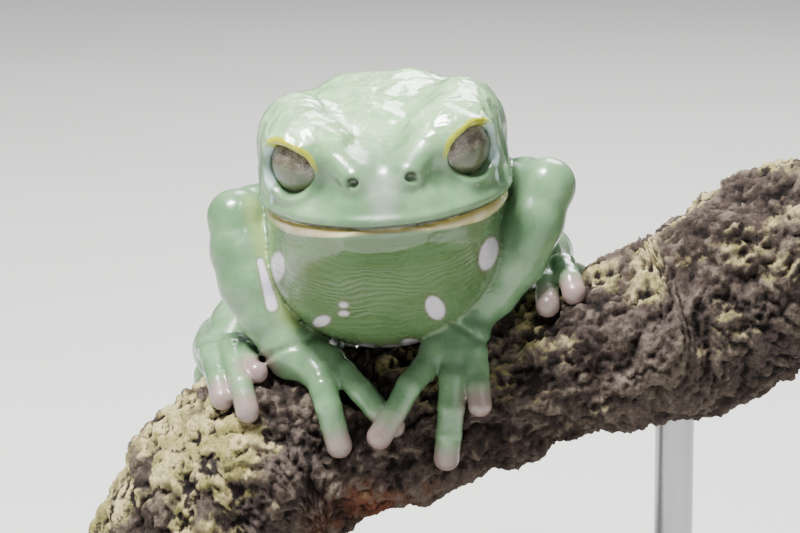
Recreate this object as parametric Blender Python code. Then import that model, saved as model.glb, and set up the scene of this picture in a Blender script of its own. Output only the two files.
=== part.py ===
"""Life-size still model of a waxy monkey tree frog that grips a short cut length of branch.

The branch is held by a plain display stand. Lengths are in millimetres and become metres when a
mesh is made. X runs to the frog's left, Y is the depth behind the snout tip, and Z is up from the
underside of the stand's base. Flesh is described by distance fields: a field is negative inside
the shape. One field holds the whole frog, and each named piece takes its share of it, cut back by
a narrow gap from the pieces that were taken before.
"""
import collections
import math

import bmesh
import bpy
import numpy as np

# General sizes
GAP = 0.5
PERCH_GAP = 0.6
EYE_GAP = 0.4
FLESH_CELL = 0.4
PERCH_CELL = 0.8
SNOUT_FORWARD = 28.0
METRES = 0.001
TOUCH_BLEND = 0.25
EDGE_MARGIN = 0.1
OVAL_LIMIT = 20.0

# Head, in its own axes: side from the middle, depth behind the mouth front, height over the mouth
HEAD_ORIGIN = (0.2, 0.0, 62.0)
HEAD_ROLL = math.radians(6.0)
HEAD_HALF_WIDTH = 14.0
HEAD_HALF_LENGTH = 16.0
HEAD_REAR = 29.0
HEAD_CUT = 24.5
FACE_SLOPE = 0.34
JAW_INSET = 0.45
MIDLINE_EASE = 1.5
MOUTH_SAG = 0.5
MOUTH_RISE = 0.0034
MOUTH_TILT = 0.03
JAW_DEPTH = 3.3
CROWN_PROFILE = ((-1.0, 4.6), (1.5, 5.4), (5.0, 6.8), (10.0, 8.8), (15.0, 10.6), (20.0, 12.0),
                 (25.0, 12.6), (31.0, 12.0))
CROWN_FALL = ((4.0, 0.006), (18.0, 0.024))
EYE_CENTRE = (7.8, 9.1, 6.2)
EYE_RADIUS = 4.1
LID_RADIUS = 5.15
EYE_GAZE = (0.67, -0.73, -0.1)
LID_PLANE = (-0.485, 0.0, 0.875)
LID_DROP = 0.9
HEAD_BULGES = (
    # centre, half sizes, blend: brow, gland behind the eye, nape, nostril rim
    ((9.0, 14.6, 7.9), (4.3, 7.4, 4.6), 1.8),
    ((9.8, 24.0, 6.2), (3.8, 8.0, 4.3), 1.8),
    ((3.6, 26.0, 8.3), (3.0, 4.6, 3.6), 2.0),
    ((3.2, 2.7, 4.1), (1.3, 1.5, 1.3), 1.0),
)
HEAD_HOLLOWS = (
    # centre, half sizes, blend: between eye and nostril, nostril, ear disc
    ((8.4, 2.9, 3.6), (2.6, 2.0, 2.2), 1.4),
    ((3.4, 1.4, 4.5), (0.65, 0.9, 0.6), 0.3),
    ((14.5, 19.5, 4.2), (0.9, 2.1, 2.1), 0.4),
)
SNOUT_RIDGE = ((3.3, 3.6, 4.9, 1.3), (6.3, 6.6, 7.9, 1.6))
CHEEK_GROOVE = ((12.5, 12.0, 9.4, 0.5), (14.2, 15.5, 0.8, 0.6))

# Torso sections: depth, middle side, top, bottom, half width
TORSO_SECTIONS = (
    (1.5, 0.0, 60.5, 59.0, 4.0),
    (5.0, 0.0, 61.5, 55.6, 8.6),
    (9.0, 0.0, 63.0, 50.8, 11.0),
    (13.0, 0.0, 65.0, 46.6, 12.4),
    (17.0, 0.0, 67.0, 44.4, 13.0),
    (24.0, 0.0, 71.5, 43.6, 13.6),
    (31.0, 0.2, 72.0, 43.6, 14.4),
    (40.0, 0.8, 69.0, 43.0, 15.2),
    (50.0, 1.4, 65.0, 41.0, 14.2),
    (57.0, 2.0, 61.4, 39.6, 12.2),
    (63.0, 2.5, 57.0, 38.8, 9.6),
    (68.0, 2.8, 52.0, 38.8, 6.8),
    (72.0, 3.0, 47.4, 39.4, 4.0),
    (74.0, 3.0, 44.0, 40.6, 1.8),
)
TORSO_ROLL = math.radians(7.0)

# Perch: side, height and radius along its middle line, which lies at one depth
PERCH_DEPTH = 21.0
PERCH_STATIONS = (
    (-27.6, 9.5, 9.9), (-21.6, 20.6, 10.4), (-18.0, 26.6, 10.6), (-13.0, 31.3, 10.2), (1.5, 34.3, 8.4),
    (12.8, 38.6, 7.3), (22.5, 42.1, 7.5), (29.2, 44.3, 9.1), (34.5, 46.3, 10.0), (40.7, 50.6, 10.0),
    (46.9, 54.2, 9.7), (55.0, 59.0, 9.5),
)
PERCH_LEFT_END = -25.0
PERCH_RIGHT_END = 51.5
PERCH_BLEND = 3.0
BARK_SWELL = 0.7
BARK_RIPPLE = 0.3

# Display stand
BASE_SIZE = (86.0, 62.0, 5.0)
BASE_MIDDLE = (8.0, 28.0)
BASE_CORNER = 6.0
BASE_EDGE = 0.8
ROD_RADIUS = 2.2
ROD_SIDES = 24
ROD_SEAT = 2.0
ROD_REACH = 4.5
ROD_PLACES = {"stand_rod_low": -14.0, "stand_rod_high": 33.0}

# Limbs: joint points as side, depth, height. The frog's right limbs lie at negative side
SHOULDER = {"right": (-9.5, 31.0, 56.0), "left": (10.0, 30.5, 58.5)}
ELBOW = {"right": (-16.9, 21.0, 58.5), "left": (18.3, 20.0, 62.3)}
WRIST = {"right": (-11.1, 17.0, 44.4), "left": (8.7, 17.2, 46.9)}
HIP = {"right": (-8.0, 58.0, 47.0), "left": (9.5, 58.0, 50.0)}
KNEE = {"right": (-18.6, 27.0, 40.9), "left": (17.2, 27.5, 52.4)}
HEEL = {"right": (-17.5, 56.0, 36.0), "left": (18.0, 56.0, 46.0)}
INSTEP = {"right": (-18.0, 40.0, 37.0), "left": (18.6, 40.0, 47.2)}
FOOT_BALL = {"right": (-18.6, 30.5, 39.4), "left": (19.2, 31.0, 48.6)}
SEGMENT_RADII = {
    "upper_arm": (4.6, 3.9, 3.5, 2.9),
    "forearm": (2.9, 3.5, 3.7, 3.2, 2.3),
    "thigh": (5.4, 5.0, 4.4, 3.7, 2.9),
    "shank": (2.9, 3.4, 3.5, 2.9, 2.2),
}
SEGMENT_BOW = {
    "upper_arm": (0.4, 0.0, 0.3),
    "forearm": (1.0, -0.2, 0.0),
    "thigh": (1.2, 0.0, 0.3),
    "shank": (1.0, 0.0, 0.6),
}
PALM_RADIUS = 2.0
FOOT_RADII = (2.2, 1.9, 2.0)

# Digits: (side, angle, lift) of base and tip on the perch, then base, middle and tip radius.
# Angle 0 is the perch's front, 90 its top
FINGERS = {
    "right": (
        ((-8.0, 82.0, 1.6), (-4.6, 118.0, 1.2), (1.5, 1.4, 1.25)),
        ((-6.4, 62.0, 1.9), (0.9, 15.0, 1.2), (1.6, 1.4, 1.3)),
        ((-7.4, 52.0, 1.9), (-5.1, 5.0, 1.2), (1.7, 1.5, 1.35)),
        ((-10.8, 68.0, 1.7), (-13.0, 128.0, 1.2), (1.55, 1.4, 1.25)),
    ),
    "left": (
        ((7.0, 84.0, 1.6), (3.6, 120.0, 1.2), (1.5, 1.4, 1.25)),
        ((6.0, 58.0, 1.9), (-0.6, 10.0, 2.4), (1.6, 1.4, 1.3)),
        ((7.9, 50.0, 1.9), (6.9, -22.0, 1.2), (1.7, 1.5, 1.35)),
        ((9.8, 58.0, 1.7), (10.6, 8.0, 1.2), (1.55, 1.4, 1.25)),
    ),
}
TOES = {
    "right": (
        ((-16.8, 98.0, 1.5), (-14.4, 62.0, 1.2), (1.4, 1.3, 1.2)),
        ((-18.2, 100.0, 1.9), (-15.3, 43.0, 1.2), (1.5, 1.35, 1.25)),
        ((-20.1, 100.0, 1.9), (-18.2, 60.0, 1.2), (1.5, 1.35, 1.25)),
        ((-20.6, 118.0, 1.6), (-21.8, 136.0, 1.2), (1.4, 1.3, 1.2)),
        ((-19.2, 132.0, 1.5), (-18.4, 158.0, 1.2), (1.35, 1.25, 1.15)),
    ),
    "left": (
        ((18.4, 112.0, 1.5), (15.2, 132.0, 1.2), (1.4, 1.3, 1.2)),
        ((18.4, 104.0, 1.6), (18.3, 64.0, 1.2), (1.5, 1.35, 1.25)),
        ((19.8, 102.0, 1.6), (21.2, 64.0, 1.2), (1.5, 1.35, 1.25)),
        ((20.8, 116.0, 1.6), (22.6, 132.0, 1.2), (1.4, 1.3, 1.2)),
        ((19.8, 130.0, 1.5), (19.6, 156.0, 1.2), (1.35, 1.25, 1.15)),
    ),
}
DIGIT_STEPS = 5
TIP_PAD = 0.12
ROOT_SHARE = 0.35

Piece = collections.namedtuple("Piece", "name kind rods blend joint reach width")

# Lattice blocks that hold the flesh and the perch
FLESH_LOW = (-26.0, -2.0, 20.0)
FLESH_HIGH = (28.0, 77.0, 79.0)
PERCH_LOW = (-48.0, 4.0, 2.0)
PERCH_HIGH = (64.0, 38.0, 78.0)

# Most triangles that each kind of node keeps
BUDGETS = {
    "head": 1900, "lower_jaw": 420, "torso": 1300, "upper_arm": 200, "forearm": 260, "hand": 240,
    "finger": 110, "thigh": 260, "shank": 220, "foot": 220, "toe": 100, "perch": 1900,
}

# Colour, roughness and metallic value of each material
FINISHES = {
    "skin": ((0.30, 0.50, 0.30), 0.3, 0.0),
    "eye": ((0.26, 0.23, 0.19), 0.1, 0.0),
    "bark": ((0.14, 0.10, 0.07), 0.9, 0.0),
    "stand": ((0.03, 0.03, 0.035), 0.45, 0.0),
}

# Six tetrahedra that share a lattice cell's long diagonal, by corner number
CELL_TETRAHEDRA = ((0, 1, 3, 7), (0, 3, 2, 7), (0, 2, 6, 7), (0, 6, 4, 7), (0, 4, 5, 7), (0, 5, 1, 7))


# Distance fields

def smooth_min(first, second, width):
    """Join two fields with a rounded crease of the given width."""
    overlap = np.clip(width - np.abs(first - second), 0.0, None)
    return np.minimum(first, second) - overlap * overlap / (4.0 * width)


def smooth_max(first, second, width):
    """Keep what lies in both fields, with a rounded edge."""
    return -smooth_min(-first, -second, width)


def rod(at, start, end):
    """Distance to a tapered rod with round ends. Each end is side, depth, height, radius."""
    axis = np.subtract(end[:3], start[:3])
    rel = [at[i] - start[i] for i in range(3)]
    share = np.clip(sum(rel[i] * axis[i] for i in range(3)) / (axis @ axis), 0.0, 1.0)
    away = sum((rel[i] - share * axis[i]) ** 2 for i in range(3))
    return np.sqrt(away) - (start[3] + share * (end[3] - start[3]))


def joined(at, rods, blend):
    """Distance to rods, given as pairs of ends, with rounded creases between them."""
    field = rod(at, *rods[0])
    for start, end in rods[1:]:
        field = smooth_min(field, rod(at, start, end), blend)
    return field


def pairs(stations):
    """Pairs of ends for rods laid end to end."""
    return list(zip(stations, stations[1:]))


def ellipsoid(at, centre, half_sizes, axes=None):
    """Near distance to an ellipsoid, turned to the given axes if there are any."""
    rel = [at[i] - centre[i] for i in range(3)]
    if axes is not None:
        rel = [sum(axis[i] * rel[i] for i in range(3)) for axis in axes]
    scaled = np.sqrt(sum((rel[i] / half_sizes[i]) ** 2 for i in range(3)))
    slope = np.sqrt(sum((rel[i] / half_sizes[i] ** 2) ** 2 for i in range(3)))
    return scaled * (scaled - 1.0) / np.maximum(slope, 1e-6)


def plane(at, point, normal):
    """Distance in front of a plane."""
    unit = np.asarray(normal) / np.linalg.norm(normal)
    return sum((at[i] - point[i]) * unit[i] for i in range(3))


def oval(across, upward, half_across, half_upward):
    """Signed distance from an ellipse, near enough on both sides of it."""
    scaled = np.maximum(np.sqrt((across / half_across) ** 2 + (upward / half_upward) ** 2), 0.001)
    slope = np.sqrt((across / half_across ** 2) ** 2 + (upward / half_upward ** 2) ** 2)
    return scaled * (scaled - 1.0) / np.maximum(slope, scaled / OVAL_LIMIT)


def near(at, centre, reach, width):
    """Blend width that is full at a joint and falls to a bare touch away from it."""
    away = sum((at[i] - centre[i]) ** 2 for i in range(3))
    return TOUCH_BLEND + width * np.exp(-away / reach ** 2)


def curve(position, stations):
    """Smooth value along stations, whose first number is the position. Ends are held."""
    knots = np.array([station[0] for station in stations])
    values = np.array([station[1] for station in stations])
    slopes = np.gradient(values, knots)
    held = np.clip(position, knots[0], knots[-1])
    index = np.clip(np.searchsorted(knots, held, side="right") - 1, 0, len(knots) - 2)
    span = (knots[1:] - knots[:-1])[index]
    share = (held - knots[index]) / span
    cube, square = share ** 3, share ** 2
    return ((2 * cube - 3 * square + 1) * values[index] + (cube - 2 * square + share) * span * slopes[index]
            + (3 * square - 2 * cube) * values[index + 1] + (cube - square) * span * slopes[index + 1])


# Perch

def bark_lumps(at):
    """Slow swells and shorter ripples of the bark."""
    x, y, z = at
    swell = np.sin(0.42 * x + 0.55 * y + 0.3) * np.sin(0.5 * z - 0.35 * x + 1.1)
    ripple = np.sin(1.05 * x - 0.8 * y + 2.0) * np.sin(0.95 * z + 0.6 * y)
    return BARK_SWELL * swell + BARK_RIPPLE * ripple


def perch_body(at):
    """The branch without its sawn ends."""
    stations = [(x, PERCH_DEPTH, z, radius) for x, z, radius in PERCH_STATIONS]
    return joined(at, pairs(stations), PERCH_BLEND) - bark_lumps(at)


def perch_axis_height(x):
    """Height of the perch's middle line over one side position."""
    return float(curve(x, [(station[0], station[1]) for station in PERCH_STATIONS]))


def perch_field(at):
    """The branch between its two sawn ends."""
    field = perch_body(at)
    for end_x, facing in ((PERCH_LEFT_END, -1.0), (PERCH_RIGHT_END, 1.0)):
        rise = perch_axis_height(end_x + 1.0) - perch_axis_height(end_x - 1.0)
        end_point = (end_x, PERCH_DEPTH, perch_axis_height(end_x))
        field = np.maximum(field, plane(at, end_point, (facing * 2.0, 0.0, facing * rise)))
    return field


def perch_point(x, angle, lift):
    """Point at a height over the bark, in a direction round the middle line, where 90 is up."""
    direction = np.array((0.0, -math.cos(math.radians(angle)), math.sin(math.radians(angle))))
    centre = np.array((x, PERCH_DEPTH, perch_axis_height(x)))
    inner, outer = 2.0, 22.0
    for _ in range(24):
        middle = 0.5 * (inner + outer)
        if float(perch_body(centre + middle * direction)) > lift:
            outer = middle
        else:
            inner = middle
    return centre + outer * direction


# Head

def head_point(side, depth, height):
    """A point given in the head's own axes."""
    cos, sin = math.cos(HEAD_ROLL), math.sin(HEAD_ROLL)
    origin = HEAD_ORIGIN
    return np.array((origin[0] + side * cos - height * sin, origin[1] + depth,
                     origin[2] + side * sin + height * cos))


def head_axes_at(at):
    """Side, depth and height in the head's own axes."""
    cos, sin = math.cos(HEAD_ROLL), math.sin(HEAD_ROLL)
    x, y, z = (at[i] - HEAD_ORIGIN[i] for i in range(3))
    return x * cos + z * sin, y + 0.0 * x, z * cos - x * sin


def eye_axes():
    """Gaze, across and up directions of the left eye, in the head's own axes."""
    gaze = np.array(EYE_GAZE) / np.linalg.norm(EYE_GAZE)
    across = np.cross((0.0, 0.0, 1.0), gaze)
    across /= np.linalg.norm(across)
    return gaze, across, np.cross(gaze, across)


def over_mouth(at):
    """Height over the curved line of the mouth."""
    side, _, height = head_axes_at(at)
    return height + MOUTH_SAG - MOUTH_RISE * side * side + MOUTH_TILT * side


def from_eye(mirrored):
    """Distance from the middle of the eyeball."""
    return np.sqrt(sum((mirrored[i] - EYE_CENTRE[i]) ** 2 for i in range(3)))


def eye_cut(mirrored, gap):
    """The socket and the opening between the lids."""
    socket = from_eye(mirrored) - (EYE_RADIUS + gap)
    gaze, across, up = eye_axes()
    window = np.add(EYE_CENTRE, 4.4 * gaze)
    opening = ellipsoid(mirrored, window, (3.0, 3.5, 3.0), (gaze, across, up))
    under_lid = plane(mirrored, EYE_CENTRE, LID_PLANE) - LID_DROP
    return np.minimum(socket, np.maximum(opening, under_lid))


def head_field(at):
    """Skull, jaw, lids, brows, glands and nape in one field, without the mouth's cut."""
    side, depth, height = head_axes_at(at)
    mirrored = (np.sqrt(side * side + MIDLINE_EASE), depth, height)
    forward = np.minimum(depth - FACE_SLOPE * np.clip(height, 0.0, None) - HEAD_HALF_LENGTH, 0.0)
    over = over_mouth(at)
    plan = oval(side, forward, HEAD_HALF_WIDTH, HEAD_HALF_LENGTH)
    plan = plan + np.where(over < 0.0, JAW_INSET - 0.3 * over, 0.0)
    crown = height - curve(depth, CROWN_PROFILE) + curve(depth, CROWN_FALL) * side * side
    field = smooth_max(plan, crown, 3.2)
    field = smooth_max(field, -height - JAW_DEPTH, 2.4)
    field = smooth_max(field, depth - HEAD_REAR, 6.0)
    for centre, half_sizes, blend in HEAD_BULGES:
        field = smooth_min(field, ellipsoid(mirrored, centre, half_sizes), blend)
    field = smooth_min(field, rod(mirrored, *SNOUT_RIDGE), 2.0)
    field = smooth_min(field, from_eye(mirrored) - LID_RADIUS, 1.2)
    for centre, half_sizes, blend in HEAD_HOLLOWS:
        field = smooth_max(field, -ellipsoid(mirrored, centre, half_sizes), blend)
    return smooth_max(field, -rod(mirrored, *CHEEK_GROOVE), 0.8)


# Body and limbs

def torso_field(at):
    """Throat, chest, back and rump, swept along the depth."""
    x, y, z = at
    middle, top, bottom, half_width = (
        curve(y, [(section[0], section[column]) for section in TORSO_SECTIONS]) for column in range(1, 5))
    cos, sin = math.cos(TORSO_ROLL), math.sin(TORSO_ROLL)
    out, rise = x - middle, z - 0.5 * (top + bottom)
    side = out * cos + rise * sin
    height = rise * cos - out * sin
    half_height = np.maximum(0.5 * (top - bottom), 0.3)
    section = oval(side, height, np.maximum(half_width, 0.3), half_height)
    ends = np.maximum(TORSO_SECTIONS[0][0] - y, y - TORSO_SECTIONS[-1][0])
    return np.maximum(section, ends)


def outward(side):
    """Sign of the side axis for a left or right limb."""
    return 1.0 if side == "left" else -1.0


def segment(kind, start, end, side):
    """Stations of a limb segment with its kind's radii, bowed outward in half a wave."""
    radii = SEGMENT_RADII[kind]
    bow = np.multiply(SEGMENT_BOW[kind], (outward(side), 1.0, 1.0))
    stations = []
    for step, radius in enumerate(radii):
        share = step / (len(radii) - 1)
        point = np.add(start, share * np.subtract(end, start)) + math.sin(math.pi * share) * bow
        stations.append((*point, radius))
    return stations


def digit(base, tip, radii):
    """Stations of a finger or toe that follows the bark from base to tip, with its tip pad."""
    stations = []
    for step in range(DIGIT_STEPS):
        share = step / (DIGIT_STEPS - 1)
        x, angle, lift = (base[i] + share * (tip[i] - base[i]) for i in range(3))
        radius = float(np.interp(share, (0.0, 0.5, 1.0), radii))
        stations.append((*perch_point(x, angle, lift), radius))
    stations[-1] = (*stations[-1][:3], radii[2] + TIP_PAD)
    return stations


def limb_stations(side):
    """Stations of the four long limb segments and of the foot on one side."""
    stations = {
        "upper_arm": segment("upper_arm", SHOULDER[side], ELBOW[side], side),
        "forearm": segment("forearm", ELBOW[side], WRIST[side], side),
        "thigh": segment("thigh", HIP[side], KNEE[side], side),
        "shank": segment("shank", KNEE[side], HEEL[side], side),
    }
    joints = (HEEL[side], INSTEP[side], FOOT_BALL[side])
    stations["foot"] = [(*joint, radius) for joint, radius in zip(joints, FOOT_RADII)]
    return stations


def frog_pieces():
    """Every limb piece in the order in which it grows from the body."""
    made = {}

    def grow(name, kind, rods, blend, joint, reach, width):
        made[name] = Piece(name, kind, rods, blend, joint, reach, width)

    for side in ("right", "left"):
        stations = limb_stations(side)
        for kind, joint, reach, width in (("upper_arm", SHOULDER, 7.0, 3.0), ("forearm", ELBOW, 4.0, 1.6),
                                          ("thigh", HIP, 9.0, 3.0), ("shank", KNEE, 4.0, 1.6)):
            grow(f"{kind}_{side}", kind, pairs(stations[kind]), 0.6, joint[side], reach, width)
        wrist = (*WRIST[side], SEGMENT_RADII["forearm"][-1])
        fingers = [digit(*places) for places in FINGERS[side]]
        palm = [(wrist, (*finger[0][:3], PALM_RADIUS)) for finger in fingers]
        grow(f"hand_{side}", "hand", palm, 1.3, WRIST[side], 4.0, 1.6)
        toes = [digit(*places) for places in TOES[side]]
        sole = pairs(stations["foot"]) + [(stations["foot"][-1], toe[0]) for toe in toes]
        grow(f"foot_{side}", "foot", sole, 1.2, HEEL[side], 4.0, 1.6)
        for kind, digits in (("finger", fingers), ("toe", toes)):
            for number, line in enumerate(digits, 1):
                grow(f"{kind}_{number}_{side}", kind, pairs(line), 0.3, line[0][:3], 2.4, 0.9)
    return made


def share_round(piece, at, margin=4.5):
    """The points near a piece: their place in the array, and their coordinates.

    The array is a block of a lattice, or else a plain list of points.
    """
    ends = np.array([end for pair in piece.rods for end in pair])
    low = (ends[:, :3] - ends[:, 3:]).min(axis=0) - margin
    high = (ends[:, :3] + ends[:, 3:]).max(axis=0) + margin
    if at[0].ndim == 1:
        part = np.logical_and.reduce([(at[i] > low[i]) & (at[i] < high[i]) for i in range(3)])
        return part, tuple(line[part] for line in at)
    lines = [np.ravel(line) for line in at]
    part = tuple(slice(*np.searchsorted(line, (low[i], high[i]))) for i, line in enumerate(lines))
    return part, spread([line[cut] for line, cut in zip(lines, part)])


def spread(lines):
    """Three lines of coordinates as arrays that broadcast to a block."""
    return lines[0][:, None, None], lines[1][None, :, None], lines[2][None, None, :]


def piece_field(at, piece):
    """Distance to one limb piece by itself."""
    return joined(at, piece.rods, piece.blend)


def flesh_field(at, pieces, relief=0.0):
    """The whole frog, without the cuts at its eyes and perch. Relief is an offset of the head."""
    field = smooth_min(head_field(at) + relief, torso_field(at), 2.6)
    for piece in pieces.values():
        part, here = share_round(piece, at)
        width = near(here, piece.joint, piece.reach, piece.width)
        field[part] = smooth_min(field[part], piece_field(here, piece), width)
    return field


def mirrored_head(at):
    """Distance from the head's middle, depth and height, in its own axes."""
    side, depth, height = head_axes_at(at)
    return np.sqrt(side * side + MIDLINE_EASE), depth, height


# Lattice and surface

def lattice(low, high, cell):
    """Evenly spaced coordinates of a block."""
    return spread([np.arange(low[i], high[i] + cell, cell) for i in range(3)])


def surface(values, at):
    """Closed triangle surface where the lattice values change sign, by tetrahedra."""
    values = np.where(values == 0.0, 1e-5, values)
    counts = values.shape
    inside = values < 0.0
    corners = [(i, j, k) for k in (0, 1) for j in (0, 1) for i in (0, 1)]
    total = sum(inside[i:counts[0] - 1 + i, j:counts[1] - 1 + j, k:counts[2] - 1 + k].astype(np.int8)
                for i, j, k in corners)
    cells = np.argwhere((total > 0) & (total < 8))
    strides = np.array((counts[1] * counts[2], counts[2], 1))
    first = cells @ strides
    corner_ids = np.stack([first + np.dot(corner, strides) for corner in corners], axis=1)
    flat = values.ravel()
    triangles = []
    for tetrahedron in CELL_TETRAHEDRA:
        ids = corner_ids[:, tetrahedron]
        order = np.argsort(flat[ids], axis=1)
        ids = np.take_along_axis(ids, order, axis=1)
        below = (flat[ids] < 0.0).sum(axis=1)
        for lone, others, count in ((0, (1, 2, 3), 1), (3, (0, 1, 2), 3)):
            chosen = ids[below == count]
            triangles.append(np.stack([chosen[:, (lone, other)] for other in others], axis=1))
        chosen = ids[below == 2]
        for edges in (((0, 2), (0, 3), (1, 3)), ((0, 2), (1, 3), (1, 2))):
            triangles.append(np.stack([chosen[:, edge] for edge in edges], axis=1))
    edges = np.sort(np.concatenate(triangles).reshape(-1, 2), axis=1)
    unique, index = np.unique(edges[:, 0] * flat.size + edges[:, 1], return_inverse=True)
    starts, ends = unique // flat.size, unique % flat.size
    share = np.clip(flat[starts] / (flat[starts] - flat[ends]), EDGE_MARGIN, 1.0 - EDGE_MARGIN)[:, None]
    lines = [np.ravel(line) for line in at]

    def places(ids):
        steps = np.unravel_index(ids, counts)
        return np.stack([line[step] for line, step in zip(lines, steps)], axis=1)

    points = places(starts) * (1.0 - share) + places(ends) * share
    return points, index.reshape(-1, 3)


def metres(point):
    """A point of this file's axes in the finished model's metres."""
    return METRES * point[0], METRES * (point[1] - SNOUT_FORWARD), METRES * point[2]


def largest_island(mesh):
    """Faces outside the biggest connected surface are removed."""
    mesh.faces.ensure_lookup_table()
    seen = set()
    islands = []
    for face in mesh.faces:
        if face.index in seen:
            continue
        seen.add(face.index)
        island = [face]
        for member in island:
            for edge in member.edges:
                for other in edge.link_faces:
                    if other.index not in seen:
                        seen.add(other.index)
                        island.append(other)
        islands.append(island)
    islands.sort(key=len)
    scraps = [face for island in islands[:-1] for face in island]
    bmesh.ops.delete(mesh, geom=scraps, context="FACES")


# Objects

def material(name, finish):
    """A Principled material from a named finish."""
    colour, roughness, metallic = FINISHES[finish]
    made = bpy.data.materials.new(name)
    made.use_nodes = True
    shader = made.node_tree.nodes["Principled BSDF"]
    shader.inputs["Base Color"].default_value = (*colour, 1.0)
    shader.inputs["Roughness"].default_value = roughness
    shader.inputs["Metallic"].default_value = metallic
    return made


def add_object(name, mesh, finish):
    """Put a bmesh into the scene as a named object."""
    bmesh.ops.recalc_face_normals(mesh, faces=mesh.faces)
    data = bpy.data.meshes.new(name)
    mesh.to_mesh(data)
    mesh.free()
    data.materials.append(material(name, finish))
    made = bpy.data.objects.new(name, data)
    bpy.context.scene.collection.objects.link(made)
    return made


def field_object(name, values, at, budget, finish):
    """An object from a field, thinned to its budget of triangles."""
    points, triangles = surface(values, at)
    mesh = bmesh.new()
    verts = [mesh.verts.new(metres(point)) for point in points]
    for corners in triangles:
        mesh.faces.new([verts[index] for index in corners])
    mesh.faces.index_update()
    largest_island(mesh)
    loose = [vert for vert in mesh.verts if not vert.link_faces]
    bmesh.ops.delete(mesh, geom=loose, context="VERTS")
    count = len(mesh.faces)
    made = add_object(name, mesh, finish)
    if count > budget:
        thin = made.modifiers.new("Thin", "DECIMATE")
        thin.ratio = budget / count
    return made


def trimmed(values, at):
    """The part of a block that holds the inside of a field, with two cells to spare."""
    inside = values < 0.0
    slices = []
    for axis in range(3):
        filled = np.flatnonzero(inside.any(axis=tuple(other for other in range(3) if other != axis)))
        slices.append(slice(max(filled[0] - 2, 0), min(filled[-1] + 3, inside.shape[axis])))
    return values[tuple(slices)], spread([np.ravel(line)[part] for line, part in zip(at, slices)])


def add_eyes():
    """Round eyeballs in their sockets."""
    for side in ("right", "left"):
        mesh = bmesh.new()
        bmesh.ops.create_uvsphere(mesh, u_segments=18, v_segments=10, radius=METRES * EYE_RADIUS)
        centre = head_point(outward(side) * EYE_CENTRE[0], EYE_CENTRE[1], EYE_CENTRE[2])
        bmesh.ops.translate(mesh, vec=metres(centre), verts=mesh.verts)
        add_object(f"eye_{side}", mesh, "eye")


def joint_plane(at, joint, parent_far, child_far):
    """Plane through a joint, positive on the parent's side."""
    child = np.subtract(child_far, joint)
    parent = np.subtract(parent_far, joint)
    return plane(at, joint, parent / np.linalg.norm(parent) - child / np.linalg.norm(child))


def digit_region(at, piece, pieces):
    """A finger's or toe's own share among its neighbours, beyond its root."""
    side = piece.name.split("_")[-1]
    siblings = [other for other in pieces.values()
                if other.kind == piece.kind and other.name.endswith(side) and other is not piece]
    own = piece_field(at, piece)
    rest = np.minimum.reduce([piece_field(at, other) for other in siblings])
    start, onward = (np.array(end[:3]) for end in piece.rods[0])
    root = plane(at, start + ROOT_SHARE * (onward - start), start - onward)
    return np.maximum(np.maximum(own - 0.6, 0.5 * (own - rest)), root)


def limb_region(at, piece, pieces):
    """The flesh round one limb piece on its own side of the joint that it grows from."""
    side = piece.name.split("_")[-1]
    own = piece_field(at, piece) - 1.2
    far = {
        "hand": np.mean([end[:3] for _, end in pieces[f"hand_{side}"].rods[1:3]], axis=0),
        "foot": INSTEP[side],
        "forearm": WRIST[side],
        "shank": HEEL[side],
    }
    parents = {"hand": ELBOW[side], "foot": KNEE[side], "forearm": SHOULDER[side], "shank": HIP[side]}
    if piece.kind in far:
        return np.maximum(own, joint_plane(at, piece.joint, parents[piece.kind], far[piece.kind]))
    start, onward = (np.array(end[:3]) for end in piece.rods[0])
    return np.maximum(own, plane(at, onward, start - onward))


def jaw_region(at):
    """The lower jaw, under the line of the mouth."""
    _, depth, height = head_axes_at(at)
    return np.maximum(np.maximum(over_mouth(at) + 0.5 * GAP, -height - JAW_DEPTH), depth - HEAD_CUT + 3.0)


def skull_region(at):
    """The head over the line of the mouth, in front of the neck."""
    _, depth, _ = head_axes_at(at)
    return np.maximum(0.5 * GAP - over_mouth(at), depth - HEAD_CUT)


def add_flesh():
    """The frog's pieces, each cut from the whole field and clear of the ones before."""
    pieces = frog_pieces()
    at = lattice(FLESH_LOW, FLESH_HIGH, FLESH_CELL)
    whole = flesh_field(at, pieces)
    whole = np.maximum(whole, -eye_cut(mirrored_head(at), EYE_GAP))
    whole = np.maximum(whole, PERCH_GAP - perch_field(at))
    taken = np.full(whole.shape, 50.0)

    def take(name, kind, part, region, stride=1):
        values = np.maximum(np.maximum(whole[part], region), GAP - taken[part])
        taken[part] = np.minimum(taken[part], values)
        lines = [np.ravel(line)[cut][::stride] for line, cut in zip(at, part)]
        coarse = values[::stride, ::stride, ::stride]
        field_object(name, *trimmed(coarse, spread(lines)), BUDGETS[kind], "skin")

    for kinds, region in ((("finger", "toe"), digit_region), (("hand", "foot"), limb_region),
                          (("forearm", "shank"), limb_region), (("upper_arm", "thigh"), limb_region)):
        for piece in reversed(pieces.values()):
            if piece.kind in kinds:
                part, here = share_round(piece, at)
                take(piece.name, piece.kind, part, region(here, piece, pieces))
    everywhere = (slice(None), slice(None), slice(None))
    take("lower_jaw", "lower_jaw", everywhere, jaw_region(at))
    take("head", "head", everywhere, skull_region(at))
    take("torso", "torso", everywhere, -1.0, stride=2)


def rod_top(x):
    """Height where a stand rod ends inside the perch."""
    return float(perch_point(x, -90.0, 0.0)[2]) + ROD_REACH


def cylinder(radius, low, high, x):
    """A closed upright cylinder as a bmesh, under the perch's middle line."""
    mesh = bmesh.new()
    bmesh.ops.create_cone(mesh, cap_ends=True, segments=ROD_SIDES, radius1=METRES * radius,
                          radius2=METRES * radius, depth=METRES * (high - low))
    bmesh.ops.translate(mesh, vec=metres((x, PERCH_DEPTH, 0.5 * (low + high))), verts=mesh.verts)
    return mesh


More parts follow.
